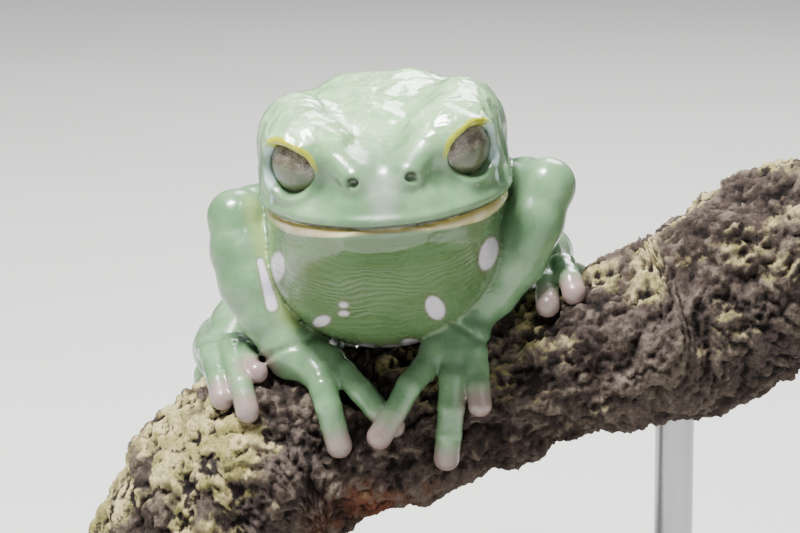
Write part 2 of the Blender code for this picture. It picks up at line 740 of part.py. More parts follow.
def cut_seats(target, low, high_at):
    """Round holes for the stand's rods, from one height to another."""
    for name, x in ROD_PLACES.items():
        hole = cylinder(ROD_RADIUS + GAP, low, high_at(x), x)
        cutter = add_object(f"cut_{target.name}_{name}", hole, "stand")
        cutter.hide_render = True
        cutter.display_type = "WIRE"
        seat = target.modifiers.new(f"Seat {name}", "BOOLEAN")
        seat.operation = "DIFFERENCE"
        seat.object = cutter


def add_perch():
    """The branch with a blind hole over each stand rod."""
    at = lattice(PERCH_LOW, PERCH_HIGH, PERCH_CELL)
    perch = field_object("perch", *trimmed(perch_field(at), at), BUDGETS["perch"], "bark")
    cut_seats(perch, BASE_SIZE[2] + 1.0, lambda x: rod_top(x) + GAP)


def add_stand():
    """A flat base with rounded corners, and two rods seated in it."""
    height = BASE_SIZE[2]
    half_height = 0.5 * METRES * height
    mesh = bmesh.new()
    bmesh.ops.create_cube(mesh, size=METRES)
    bmesh.ops.scale(mesh, vec=BASE_SIZE, verts=mesh.verts)
    bmesh.ops.translate(mesh, vec=metres((*BASE_MIDDLE, 0.5 * height)), verts=mesh.verts)
    upright = [edge for edge in mesh.edges if abs(edge.verts[0].co.z - edge.verts[1].co.z) > half_height]
    bmesh.ops.bevel(mesh, geom=upright, offset=METRES * BASE_CORNER, segments=5, profile=0.5, affect="EDGES")
    top = [edge for edge in mesh.edges if all(vert.co.z > half_height for vert in edge.verts)]
    bmesh.ops.bevel(mesh, geom=top, offset=METRES * BASE_EDGE, segments=2, profile=0.5, affect="EDGES")
    base = add_object("stand_base", mesh, "stand")
    cut_seats(base, ROD_SEAT, lambda x: height + 2.0)
    for name, x in ROD_PLACES.items():
        add_object(name, cylinder(ROD_RADIUS, ROD_SEAT + GAP, rod_top(x), x), "stand")


def main():
    for item in list(bpy.data.objects):
        bpy.data.objects.remove(item)
    add_stand()
    add_perch()
    add_eyes()
    add_flesh()


main()
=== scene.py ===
"""Looks of the waxy monkey tree frog that grips a cut branch on a display stand.

One fine skin takes the place of the frog's flesh. It comes from the same distance fields as the
solids, in millimetres with the depth counted from the snout tip, and adds lips, lids and folds.
Markings are stored on the skin as distances and become colours in its material.
"""

import collections
import math

import bmesh
import bpy
import numpy as np
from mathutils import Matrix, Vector, noise


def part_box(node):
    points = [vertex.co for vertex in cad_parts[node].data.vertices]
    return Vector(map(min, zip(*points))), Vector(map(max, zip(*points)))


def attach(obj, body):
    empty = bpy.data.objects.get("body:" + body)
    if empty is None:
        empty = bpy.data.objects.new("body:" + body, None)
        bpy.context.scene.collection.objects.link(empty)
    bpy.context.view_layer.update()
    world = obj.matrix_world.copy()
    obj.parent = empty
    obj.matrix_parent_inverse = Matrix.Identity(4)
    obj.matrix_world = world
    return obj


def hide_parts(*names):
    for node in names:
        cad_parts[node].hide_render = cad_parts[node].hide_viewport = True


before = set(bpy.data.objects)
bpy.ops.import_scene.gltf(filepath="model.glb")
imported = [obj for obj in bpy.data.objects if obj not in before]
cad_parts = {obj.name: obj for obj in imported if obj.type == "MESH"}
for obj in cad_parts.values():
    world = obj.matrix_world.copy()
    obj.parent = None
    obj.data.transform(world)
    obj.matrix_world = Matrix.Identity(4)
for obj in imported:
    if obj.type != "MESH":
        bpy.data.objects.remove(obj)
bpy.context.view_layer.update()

# General sizes
SNOUT_FORWARD = 28.0
METRES = 0.001
TOUCH_BLEND = 0.25
OVAL_LIMIT = 20.0

# Head, in its own axes: side from the middle, depth behind the mouth front, height over the mouth
HEAD_ORIGIN = (0.2, 0.0, 62.0)
HEAD_ROLL = math.radians(6.0)
HEAD_HALF_WIDTH = 14.0
HEAD_HALF_LENGTH = 16.0
HEAD_REAR = 29.0
FACE_SLOPE = 0.34
JAW_INSET = 0.45
MIDLINE_EASE = 1.5
MOUTH_SAG = 0.5
MOUTH_RISE = 0.0034
MOUTH_TILT = 0.03
JAW_DEPTH = 3.3
CROWN_PROFILE = ((-1.0, 4.6), (1.5, 5.4), (5.0, 6.8), (10.0, 8.8), (15.0, 10.6), (20.0, 12.0),
                 (25.0, 12.6), (31.0, 12.0))
CROWN_FALL = ((4.0, 0.006), (18.0, 0.024))
EYE_CENTRE = (7.8, 9.1, 6.2)
EYE_RADIUS = 4.1
LID_RADIUS = 5.15
EYE_GAZE = (0.67, -0.73, -0.1)
LID_PLANE = (-0.485, 0.0, 0.875)
LID_DROP = 0.9
HEAD_BULGES = (
    # centre, half sizes, blend: brow, gland behind the eye, nape, nostril rim
    ((9.0, 14.6, 7.9), (4.3, 7.4, 4.6), 1.8),
    ((9.8, 24.0, 6.2), (3.8, 8.0, 4.3), 1.8),
    ((3.6, 26.0, 8.3), (3.0, 4.6, 3.6), 2.0),
    ((3.2, 2.7, 4.1), (1.3, 1.5, 1.3), 1.0),
)
HEAD_HOLLOWS = (
    # centre, half sizes, blend: between eye and nostril, nostril, ear disc
    ((8.4, 2.9, 3.6), (2.6, 2.0, 2.2), 1.4),
    ((3.4, 1.4, 4.5), (0.65, 0.9, 0.6), 0.3),
    ((14.5, 19.5, 4.2), (0.9, 2.1, 2.1), 0.4),
)
SNOUT_RIDGE = ((3.3, 3.6, 4.9, 1.3), (6.3, 6.6, 7.9, 1.6))
CROWN_BLEND = 3.2
THROAT_BLEND = 2.4
REAR_BLEND = 6.0
RIDGE_BLEND = 2.0
LID_BLEND = 1.2
GROOVE_BLEND = 0.8
NECK_BLEND = 2.6
CHEEK_GROOVE = ((12.5, 12.0, 9.4, 0.5), (14.2, 15.5, 0.8, 0.6))

# Torso sections: depth, middle side, top, bottom, half width
TORSO_SECTIONS = (
    (1.5, 0.0, 60.5, 59.0, 4.0),
    (5.0, 0.0, 61.5, 55.6, 8.6),
    (9.0, 0.0, 63.0, 50.8, 11.0),
    (13.0, 0.0, 65.0, 46.6, 12.4),
    (17.0, 0.0, 67.0, 44.4, 13.0),
    (24.0, 0.0, 71.5, 43.6, 13.6),
    (31.0, 0.2, 72.0, 43.6, 14.4),
    (40.0, 0.8, 69.0, 43.0, 15.2),
    (50.0, 1.4, 65.0, 41.0, 14.2),
    (57.0, 2.0, 61.4, 39.6, 12.2),
    (63.0, 2.5, 57.0, 38.8, 9.6),
    (68.0, 2.8, 52.0, 38.8, 6.8),
    (72.0, 3.0, 47.4, 39.4, 4.0),
    (74.0, 3.0, 44.0, 40.6, 1.8),
)
TORSO_ROLL = math.radians(7.0)

# Perch: side, height and radius along its middle line, which lies at one depth
PERCH_DEPTH = 21.0
PERCH_STATIONS = (
    (-27.6, 9.5, 9.9), (-21.6, 20.6, 10.4), (-18.0, 26.6, 10.6), (-13.0, 31.3, 10.2), (1.5, 34.3, 8.4),
    (12.8, 38.6, 7.3), (22.5, 42.1, 7.5), (29.2, 44.3, 9.1), (34.5, 46.3, 10.0), (40.7, 50.6, 10.0),
    (46.9, 54.2, 9.7), (55.0, 59.0, 9.5),
)
PERCH_LEFT_END = -25.0
PERCH_RIGHT_END = 51.5
PERCH_BLEND = 3.0
BARK_SWELL = 0.7
BARK_RIPPLE = 0.3

# Display stand
ROD_RADIUS = 2.2
ROD_PLACES = {"stand_rod_low": -14.0, "stand_rod_high": 33.0}

# Limbs: joint points as side, depth, height. The frog's right limbs lie at negative side
SHOULDER = {"right": (-9.5, 31.0, 56.0), "left": (10.0, 30.5, 58.5)}
ELBOW = {"right": (-16.9, 21.0, 58.5), "left": (18.3, 20.0, 62.3)}
WRIST = {"right": (-11.1, 17.0, 44.4), "left": (8.7, 17.2, 46.9)}
HIP = {"right": (-8.0, 58.0, 47.0), "left": (9.5, 58.0, 50.0)}
KNEE = {"right": (-18.6, 27.0, 40.9), "left": (17.2, 27.5, 52.4)}
HEEL = {"right": (-17.5, 56.0, 36.0), "left": (18.0, 56.0, 46.0)}
INSTEP = {"right": (-18.0, 40.0, 37.0), "left": (18.6, 40.0, 47.2)}
FOOT_BALL = {"right": (-18.6, 30.5, 39.4), "left": (19.2, 31.0, 48.6)}
SEGMENT_RADII = {
    "upper_arm": (4.6, 3.9, 3.5, 2.9),
    "forearm": (2.9, 3.5, 3.7, 3.2, 2.3),
    "thigh": (5.4, 5.0, 4.4, 3.7, 2.9),
    "shank": (2.9, 3.4, 3.5, 2.9, 2.2),
}
SEGMENT_BOW = {
    "upper_arm": (0.4, 0.0, 0.3),
    "forearm": (1.0, -0.2, 0.0),
    "thigh": (1.2, 0.0, 0.3),
    "shank": (1.0, 0.0, 0.6),
}
PALM_RADIUS = 2.0
FOOT_RADII = (2.2, 1.9, 2.0)

# Digits: (side, angle, lift) of base and tip on the perch, then base, middle and tip radius.
# Angle 0 is the perch's front, 90 its top
FINGERS = {
    "right": (
        ((-8.0, 82.0, 1.6), (-4.6, 118.0, 1.2), (1.5, 1.4, 1.25)),
        ((-6.4, 62.0, 1.9), (0.9, 15.0, 1.2), (1.6, 1.4, 1.3)),
        ((-7.4, 52.0, 1.9), (-5.1, 5.0, 1.2), (1.7, 1.5, 1.35)),
        ((-10.8, 68.0, 1.7), (-13.0, 128.0, 1.2), (1.55, 1.4, 1.25)),
    ),
    "left": (
        ((7.0, 84.0, 1.6), (3.6, 120.0, 1.2), (1.5, 1.4, 1.25)),
        ((6.0, 58.0, 1.9), (-0.6, 10.0, 2.4), (1.6, 1.4, 1.3)),
        ((7.9, 50.0, 1.9), (6.9, -22.0, 1.2), (1.7, 1.5, 1.35)),
        ((9.8, 58.0, 1.7), (10.6, 8.0, 1.2), (1.55, 1.4, 1.25)),
    ),
}
TOES = {
    "right": (
        ((-16.8, 98.0, 1.5), (-14.4, 62.0, 1.2), (1.4, 1.3, 1.2)),
        ((-18.2, 100.0, 1.9), (-15.3, 43.0, 1.2), (1.5, 1.35, 1.25)),
        ((-20.1, 100.0, 1.9), (-18.2, 60.0, 1.2), (1.5, 1.35, 1.25)),
        ((-20.6, 118.0, 1.6), (-21.8, 136.0, 1.2), (1.4, 1.3, 1.2)),
        ((-19.2, 132.0, 1.5), (-18.4, 158.0, 1.2), (1.35, 1.25, 1.15)),
    ),
    "left": (
        ((18.4, 112.0, 1.5), (15.2, 132.0, 1.2), (1.4, 1.3, 1.2)),
        ((18.4, 104.0, 1.6), (18.3, 64.0, 1.2), (1.5, 1.35, 1.25)),
        ((19.8, 102.0, 1.6), (21.2, 64.0, 1.2), (1.5, 1.35, 1.25)),
        ((20.8, 116.0, 1.6), (22.6, 132.0, 1.2), (1.4, 1.3, 1.2)),
        ((19.8, 130.0, 1.5), (19.6, 156.0, 1.2), (1.35, 1.25, 1.15)),
    ),
}
DIGIT_STEPS = 5
TIP_PAD = 0.12

# A limb piece: its rods, and how wide and how far it blends into the body at its joint
Piece = collections.namedtuple("Piece", "name kind rods blend joint reach width")


# Distance fields

def smooth_min(first, second, width):
    """Join two fields with a rounded crease of the given width."""
    overlap = np.clip(width - np.abs(first - second), 0.0, None)
    return np.minimum(first, second) - overlap * overlap / (4.0 * width)


def smooth_max(first, second, width):
    """Keep what lies in both fields, with a rounded edge."""
    return -smooth_min(-first, -second, width)


def rod(at, start, end):
    """Distance to a tapered rod with round ends. Each end is side, depth, height, radius."""
    axis = np.subtract(end[:3], start[:3])
    rel = [at[i] - start[i] for i in range(3)]
    share = np.clip(sum(rel[i] * axis[i] for i in range(3)) / (axis @ axis), 0.0, 1.0)
    away = sum((rel[i] - share * axis[i]) ** 2 for i in range(3))
    return np.sqrt(away) - (start[3] + share * (end[3] - start[3]))


def joined(at, rods, blend):
    """Distance to rods, given as pairs of ends, with rounded creases between them."""
    field = rod(at, *rods[0])
    for start, end in rods[1:]:
        field = smooth_min(field, rod(at, start, end), blend)
    return field


def pairs(stations):
    """Pairs of ends for rods laid end to end."""
    return list(zip(stations, stations[1:]))


def ellipsoid(at, centre, half_sizes, axes=None):
    """Near distance to an ellipsoid, turned to the given axes if there are any."""
    rel = [at[i] - centre[i] for i in range(3)]
    if axes is not None:
        rel = [sum(axis[i] * rel[i] for i in range(3)) for axis in axes]
    scaled = np.sqrt(sum((rel[i] / half_sizes[i]) ** 2 for i in range(3)))
    slope = np.sqrt(sum((rel[i] / half_sizes[i] ** 2) ** 2 for i in range(3)))
    return scaled * (scaled - 1.0) / np.maximum(slope, 1e-6)


def plane(at, point, normal):
    """Distance in front of a plane."""
    unit = np.asarray(normal) / np.linalg.norm(normal)
    return sum((at[i] - point[i]) * unit[i] for i in range(3))


def oval(across, upward, half_across, half_upward):
    """Signed distance from an ellipse, near enough on both sides of it."""
    scaled = np.maximum(np.sqrt((across / half_across) ** 2 + (upward / half_upward) ** 2), 0.001)
    slope = np.sqrt((across / half_across ** 2) ** 2 + (upward / half_upward ** 2) ** 2)
    return scaled * (scaled - 1.0) / np.maximum(slope, scaled / OVAL_LIMIT)


def near(at, centre, reach, width):
    """Blend width that is full at a joint and falls to a bare touch away from it."""
    away = sum((at[i] - centre[i]) ** 2 for i in range(3))
    return TOUCH_BLEND + width * np.exp(-away / reach ** 2)


def curve(position, stations):
    """Smooth value along stations, whose first number is the position. Ends are held."""
    knots = np.array([station[0] for station in stations])
    values = np.array([station[1] for station in stations])
    slopes = np.gradient(values, knots)
    held = np.clip(position, knots[0], knots[-1])
    index = np.clip(np.searchsorted(knots, held, side="right") - 1, 0, len(knots) - 2)
    span = (knots[1:] - knots[:-1])[index]
    share = (held - knots[index]) / span
    cube, square = share ** 3, share ** 2
    return ((2 * cube - 3 * square + 1) * values[index] + (cube - 2 * square + share) * span * slopes[index]
            + (3 * square - 2 * cube) * values[index + 1] + (cube - square) * span * slopes[index + 1])


# Perch

def bark_lumps(at):
    """Slow swells and shorter ripples of the bark."""
    x, y, z = at
    swell = np.sin(0.42 * x + 0.55 * y + 0.3) * np.sin(0.5 * z - 0.35 * x + 1.1)
    ripple = np.sin(1.05 * x - 0.8 * y + 2.0) * np.sin(0.95 * z + 0.6 * y)
    return BARK_SWELL * swell + BARK_RIPPLE * ripple


def perch_body(at):
    """The branch without its sawn ends."""
    stations = [(x, PERCH_DEPTH, z, radius) for x, z, radius in PERCH_STATIONS]
    return joined(at, pairs(stations), PERCH_BLEND) - bark_lumps(at)


def perch_axis_height(x):
    """Height of the perch's middle line over one side position."""
    return float(curve(x, [(station[0], station[1]) for station in PERCH_STATIONS]))


def perch_point(x, angle, lift):
    """Point at a height over the bark, in a direction round the middle line, where 90 is up."""
    direction = np.array((0.0, -math.cos(math.radians(angle)), math.sin(math.radians(angle))))
    centre = np.array((x, PERCH_DEPTH, perch_axis_height(x)))
    inner, outer = 2.0, 22.0
    for _ in range(24):
        middle = 0.5 * (inner + outer)
        if float(perch_body(centre + middle * direction)) > lift:
            outer = middle
        else:
            inner = middle
    return centre + outer * direction


# Head

def head_point(side, depth, height):
    """A point given in the head's own axes."""
    cos, sin = math.cos(HEAD_ROLL), math.sin(HEAD_ROLL)
    origin = HEAD_ORIGIN
    return np.array((origin[0] + side * cos - height * sin, origin[1] + depth,
                     origin[2] + side * sin + height * cos))


def head_axes_at(at):
    """Side, depth and height in the head's own axes, the depth in the side's shape."""
    cos, sin = math.cos(HEAD_ROLL), math.sin(HEAD_ROLL)
    x, y, z = (at[i] - HEAD_ORIGIN[i] for i in range(3))
    return x * cos + z * sin, y + 0.0 * x, z * cos - x * sin


def eye_axes():
    """Gaze, across and up directions of the left eye, in the head's own axes."""
    gaze = np.array(EYE_GAZE) / np.linalg.norm(EYE_GAZE)
    across = np.cross((0.0, 0.0, 1.0), gaze)
    across /= np.linalg.norm(across)
    return gaze, across, np.cross(gaze, across)


def over_mouth(at):
    """Height over the curved line of the mouth."""
    side, _, height = head_axes_at(at)
    return height + MOUTH_SAG - MOUTH_RISE * side * side + MOUTH_TILT * side


def from_eye(mirrored):
    """Distance from the middle of the eyeball."""
    return np.sqrt(sum((mirrored[i] - EYE_CENTRE[i]) ** 2 for i in range(3)))


def mirrored_head(at):
    """Distance from the head's middle, depth and height, in its own axes."""
    side, depth, height = head_axes_at(at)
    return np.sqrt(side * side + MIDLINE_EASE), depth, height


def head_field(at):
    """Skull, jaw, lids, brows, glands and nape in one field, without the mouth's cut."""
    side, depth, height = head_axes_at(at)
    mirrored = mirrored_head(at)
    forward = np.minimum(depth - FACE_SLOPE * np.clip(height, 0.0, None) - HEAD_HALF_LENGTH, 0.0)
    over = over_mouth(at)
    plan = oval(side, forward, HEAD_HALF_WIDTH, HEAD_HALF_LENGTH)
    plan = plan + np.where(over < 0.0, JAW_INSET - 0.3 * over, 0.0)
    crown = height - curve(depth, CROWN_PROFILE) + curve(depth, CROWN_FALL) * side * side
    field = smooth_max(plan, crown, CROWN_BLEND)
    field = smooth_max(field, -height - JAW_DEPTH, THROAT_BLEND)
    field = smooth_max(field, depth - HEAD_REAR, REAR_BLEND)
    for centre, half_sizes, blend in HEAD_BULGES:
        field = smooth_min(field, ellipsoid(mirrored, centre, half_sizes), blend)
    field = smooth_min(field, rod(mirrored, *SNOUT_RIDGE), RIDGE_BLEND)
    field = smooth_min(field, from_eye(mirrored) - LID_RADIUS, LID_BLEND)
    for centre, half_sizes, blend in HEAD_HOLLOWS:
        field = smooth_max(field, -ellipsoid(mirrored, centre, half_sizes), blend)
    return smooth_max(field, -rod(mirrored, *CHEEK_GROOVE), GROOVE_BLEND)


# Body and limbs

def torso_field(at):
    """Throat, chest, back and rump, swept along the depth."""
    x, y, z = at
    middle, top, bottom, half_width = (
        curve(y, [(section[0], section[column]) for section in TORSO_SECTIONS]) for column in range(1, 5))
    cos, sin = math.cos(TORSO_ROLL), math.sin(TORSO_ROLL)
    out, rise = x - middle, z - 0.5 * (top + bottom)
    side = out * cos + rise * sin
    height = rise * cos - out * sin
    half_height = np.maximum(0.5 * (top - bottom), 0.3)
    section = oval(side, height, np.maximum(half_width, 0.3), half_height)
    ends = np.maximum(TORSO_SECTIONS[0][0] - y, y - TORSO_SECTIONS[-1][0])
    return np.maximum(section, ends)


def outward(side):
    """Sign of the side axis for a left or right limb."""
    return 1.0 if side == "left" else -1.0


def segment(kind, start, end, side):
    """Stations of a limb segment with its kind's radii, bowed outward in half a wave."""
    radii = SEGMENT_RADII[kind]
    bow = np.multiply(SEGMENT_BOW[kind], (outward(side), 1.0, 1.0))
    stations = []
    for step, radius in enumerate(radii):
        share = step / (len(radii) - 1)
        point = np.add(start, share * np.subtract(end, start)) + math.sin(math.pi * share) * bow
        stations.append((*point, radius))
    return stations


def digit(base, tip, radii):
    """Stations of a finger or toe that follows the bark from base to tip, with its tip pad."""
    stations = []
    for step in range(DIGIT_STEPS):
        share = step / (DIGIT_STEPS - 1)
        x, angle, lift = (base[i] + share * (tip[i] - base[i]) for i in range(3))
        radius = float(np.interp(share, (0.0, 0.5, 1.0), radii))
        stations.append((*perch_point(x, angle, lift), radius))
    stations[-1] = (*stations[-1][:3], radii[2] + TIP_PAD)
    return stations


def limb_stations(side):
    """Stations of the four long limb segments and of the foot on one side."""
    stations = {
        "upper_arm": segment("upper_arm", SHOULDER[side], ELBOW[side], side),
        "forearm": segment("forearm", ELBOW[side], WRIST[side], side),
        "thigh": segment("thigh", HIP[side], KNEE[side], side),
        "shank": segment("shank", KNEE[side], HEEL[side], side),
    }
    joints = (HEEL[side], INSTEP[side], FOOT_BALL[side])
    stations["foot"] = [(*joint, radius) for joint, radius in zip(joints, FOOT_RADII)]
    return stations


def frog_pieces():
    """Every limb piece in the order in which it grows from the body."""
    made = {}

    def grow(name, kind, rods, blend, joint, reach, width):
        made[name] = Piece(name, kind, rods, blend, joint, reach, width)

    for side in ("right", "left"):
        stations = limb_stations(side)
        for kind, joint, reach, width in (("upper_arm", SHOULDER, 7.0, 3.0), ("forearm", ELBOW, 4.0, 1.6),
                                          ("thigh", HIP, 9.0, 3.0), ("shank", KNEE, 4.0, 1.6)):
            grow(f"{kind}_{side}", kind, pairs(stations[kind]), 0.6, joint[side], reach, width)
        wrist = (*WRIST[side], SEGMENT_RADII["forearm"][-1])
        fingers = [digit(*places) for places in FINGERS[side]]
        palm = [(wrist, (*finger[0][:3], PALM_RADIUS)) for finger in fingers]
        grow(f"hand_{side}", "hand", palm, 1.3, WRIST[side], 4.0, 1.6)
        toes = [digit(*places) for places in TOES[side]]
        sole = pairs(stations["foot"]) + [(stations["foot"][-1], toe[0]) for toe in toes]
        grow(f"foot_{side}", "foot", sole, 1.2, HEEL[side], 4.0, 1.6)
        for kind, digits in (("finger", fingers), ("toe", toes)):
            for number, line in enumerate(digits, 1):
                grow(f"{kind}_{number}_{side}", kind, pairs(line), 0.3, line[0][:3], 2.4, 0.9)
    return made


def share_round(piece, at, margin=4.5):
    """The points near a piece: their place in the array, and their coordinates.

    The array is a block of a lattice, or else a plain list of points.
    """
    ends = np.array([end for pair in piece.rods for end in pair])
    low = (ends[:, :3] - ends[:, 3:]).min(axis=0) - margin
    high = (ends[:, :3] + ends[:, 3:]).max(axis=0) + margin
    if at[0].ndim == 1:
        part = np.logical_and.reduce([(at[i] > low[i]) & (at[i] < high[i]) for i in range(3)])
        return part, tuple(line[part] for line in at)
    lines = [np.ravel(line) for line in at]
    part = tuple(slice(*np.searchsorted(line, (low[i], high[i]))) for i, line in enumerate(lines))
    return part, spread([line[cut] for line, cut in zip(lines, part)])


def spread(lines):
    """Three lines of coordinates as arrays that broadcast to a block."""
    return lines[0][:, None, None], lines[1][None, :, None], lines[2][None, None, :]


def piece_field(at, piece):
    """Distance to one limb piece by itself."""
    return joined(at, piece.rods, piece.blend)


def flesh_field(at, pieces, relief=0.0):
    """The whole frog, without the cuts at its eyes and perch. Relief is an offset of the head."""
    field = smooth_min(head_field(at) + relief, torso_field(at), NECK_BLEND)
    for piece in pieces.values():
        part, here = share_round(piece, at)
        width = near(here, piece.joint, piece.reach, piece.width)
        field[part] = smooth_min(field[part], piece_field(here, piece), width)
    return field


# Sizes that only the looks need, in millimetres
SKIN_LINES = (
    ((-25.5, 27.6, 0.34),),
    ((-1.6, 24.0, 0.3), (24.0, 76.5, 0.55)),
    ((22.0, 56.0, 0.34), (56.0, 79.0, 0.3)),
)
SETTLE_STEPS = 2
SETTLE_LIMIT = 0.12
FLANK_NOISE = (0.03, 1.6, 5.0)
SOCKET_PLAY = 0.03
LID_BEVEL = 0.9
LID_RIM = (0.3, 0.35, 0.4)
MOUTH_END = 19.0
MOUTH_GROOVE = (0.4, 0.0, 0.4)
LIP_SWELLS = ((-0.2, -0.95, 0.55), (-0.22, 0.8, 0.5))
LIP_STRIPE_TOP = -0.22
LIP_STRIPE_DEEP = ((0.0, 0.42), (4.0, 0.6), (8.0, 1.1), (12.5, 1.25), (14.5, 0.5))
CHEEK_STRIP = ((11.9, 7.7, 8.9, 0.25), (12.7, 9.0, 2.4, 0.35))
CHEEK_LINE = ((12.3, 8.9, 9.2, 0.1), (13.1, 10.3, 1.8, 0.1))
GROOVE_DEPTH = 0.5
FACE_FORMS = (
    # line with end radii, rise, width: ridge from eye to nostril, hollow under it, brow fold
    (((3.4, 2.6, 5.0, 0.2), (6.4, 6.4, 8.2, 0.2)), 0.35, 0.9),
    (((4.6, 1.6, 3.4, 0.2), (8.0, 4.3, 5.0, 0.2)), -0.4, 1.2),
    (((5.0, 6.6, 10.4, 0.1), (11.4, 7.6, 12.0, 0.1)), -0.12, 0.6),
)
CROWN_FOLDS = ((0.42, 3.4, 3.0), (0.2, 1.5, 8.0))
WRIST_FOLD = (0.35, 0.4)
TIP_REACH = 2.3
RAGGED_SCALE = 900.0
LOWER_LID_UP = (-0.4, 0.0, 0.9)
LOWER_LID_THICKNESS = 0.08
LOWER_LID_EDGE = -1.0
EYE_SEGMENTS = 64
POLE_GAP = 0.004

# Pale spots in the front plane: side, height, half width, half height, turn in degrees
VIEW_RISE = math.radians(12.0)
VIEW_CENTRE = (21.0, 43.0)
BODY_SPOTS = (
    (-11.9, 9.5, 0.85, 1.6, -6.0), (11.5, 11.0, 1.0, 1.8, -18.0), (5.6, 5.0, 0.95, 1.35, 28.0),
    (-7.0, 3.5, 0.95, 0.55, 20.0), (-4.5, 5.35, 0.45, 0.28, 0.0), (-4.5, 4.4, 0.5, 0.28, 0.0),
    (-5.2, 0.3, 1.4, 0.7, 8.0), (-2.2, 0.3, 1.2, 0.6, 0.0), (0.8, 0.1, 1.3, 0.65, 0.0),
    (3.2, 0.8, 1.2, 0.6, -12.0),
)
ARM_STRIPE = ((-13.9, 10.2, 0.3), (-12.6, 5.2, 0.6))
FAR = 9.0

# Bark: seed, rings and spokes of the tube, then bends as reach and size, and heights and sizes of its relief
BARK_SEED = 7
BARK_STEPS = (390, 240)
BARK_RIM = 0.6
BARK_BENDS = ((1.2, 3.0), (0.7, 1.1))
BARK_STRETCH = 0.66
BARK_FOLDS = (0.4, 4.0)
BARK_LUMPS = (0.4, 4.5)
BARK_CRUMBS = (0.4, 1.3)
BARK_CLEFTS = (0.6, 2.3, 4.0)
CAP_RINGS = 9
ROD_STEPS = 72
ROD_EASE = 0.3

# Camera, floor and lights, in metres. A light has a place, a size and a power in watts
CAMERA_AIM = (0.0017, -0.007, 0.0528)
CAMERA_DISTANCE = 0.45
FRAME_WIDTH = 0.0904
SENSOR_WIDTH = 36.0
FLOOR_REACH = 2.5
LIGHTS = {
    "key": ((-0.12, -0.13, 0.49), 0.14, 10.5),
    "fill": ((0.3, -0.45, 0.2), 0.4, 0.6),
    "rim": ((0.12, 0.35, 0.4), 0.25, 3.5),
}
WORLD_TINT = (0.9, 0.95, 1.0, 1.0)
WORLD_STRENGTH = 0.2


# Skin surface

def graded(stops):
    """Coordinates with a step of their own in each stretch."""
    stretches = [np.arange(start, end - 0.5 * step, step) for start, end, step in stops]
    return np.concatenate(stretches + [[stops[-1][1]]])


def smooth_step(values, low, high):
    """Rise from 0 to 1 between two values."""
    share = np.clip((values - low) / (high - low), 0.0, 1.0)
    return share * share * (3.0 - 2.0 * share)


def bell(values, middle, width):
    """Bump of height 1 round a middle."""
    return np.exp(-((values - middle) / width) ** 2)


def lid_opening(mirrored):
    """The almond shape between the lids, under the slanting upper lid."""
    gaze, across, up = eye_axes()
    window = np.add(EYE_CENTRE, 4.4 * gaze)
    opening = ellipsoid(mirrored, window, (3.0, 3.5, 3.0), (gaze, across, up))
    return smooth_max(opening, plane(mirrored, EYE_CENTRE, LID_PLANE) - LID_DROP, 0.6)


def head_relief(at, mirrored, opening):
    """Mouth groove, swollen lips, lid rims and cheek grooves, as an offset of the head's field."""
    over = over_mouth(at)
    along = 1.0 - smooth_step(mirrored[1], MOUTH_END - 1.5, MOUTH_END + 1.0)
    swells = sum(size * bell(over, middle, width) for size, middle, width in (MOUTH_GROOVE, *LIP_SWELLS))
    rim_size, rim_middle, rim_width = LID_RIM
    by_eye = bell(from_eye(mirrored), EYE_RADIUS + 0.8, 1.6)
    groove = GROOVE_DEPTH * bell(rod(mirrored, *CHEEK_LINE), 0.0, 0.55)
    strip = 0.2 * bell(rod(mirrored, *CHEEK_STRIP), 0.0, 0.6)
    forms = sum(rise * bell(np.maximum(rod(mirrored, *line), 0.0), 0.0, width)
                for line, rise, width in FACE_FORMS)
    rim = rim_size * by_eye * bell(opening, rim_middle, rim_width)
    return along * swells - rim + groove - strip - forms


def wrist_fold(at, side):
    """Shallow fold across a wrist."""
    along = np.subtract(WRIST[side], ELBOW[side])
    along = along / np.linalg.norm(along)
    past = sum((at[i] - WRIST[side][i]) * along[i] for i in range(3))
    away = np.sqrt(sum((at[i] - WRIST[side][i]) ** 2 for i in range(3)))
    size, width = WRIST_FOLD
    return size * bell(past, 0.3, width) * (1.0 - smooth_step(away, 3.4, 5.0))


def skin_field(at, pieces):
    """The frog's skin with its lips, eye openings and wrist folds."""
    mirrored = mirrored_head(at)
    opening = lid_opening(mirrored)
    field = flesh_field(at, pieces, head_relief(at, mirrored, opening))
    for side in ("right", "left"):
        field = field + wrist_fold(at, side)
    field = smooth_max(field, -opening, LID_BEVEL)
    return np.maximum(field, EYE_RADIUS + SOCKET_PLAY - from_eye(mirrored))


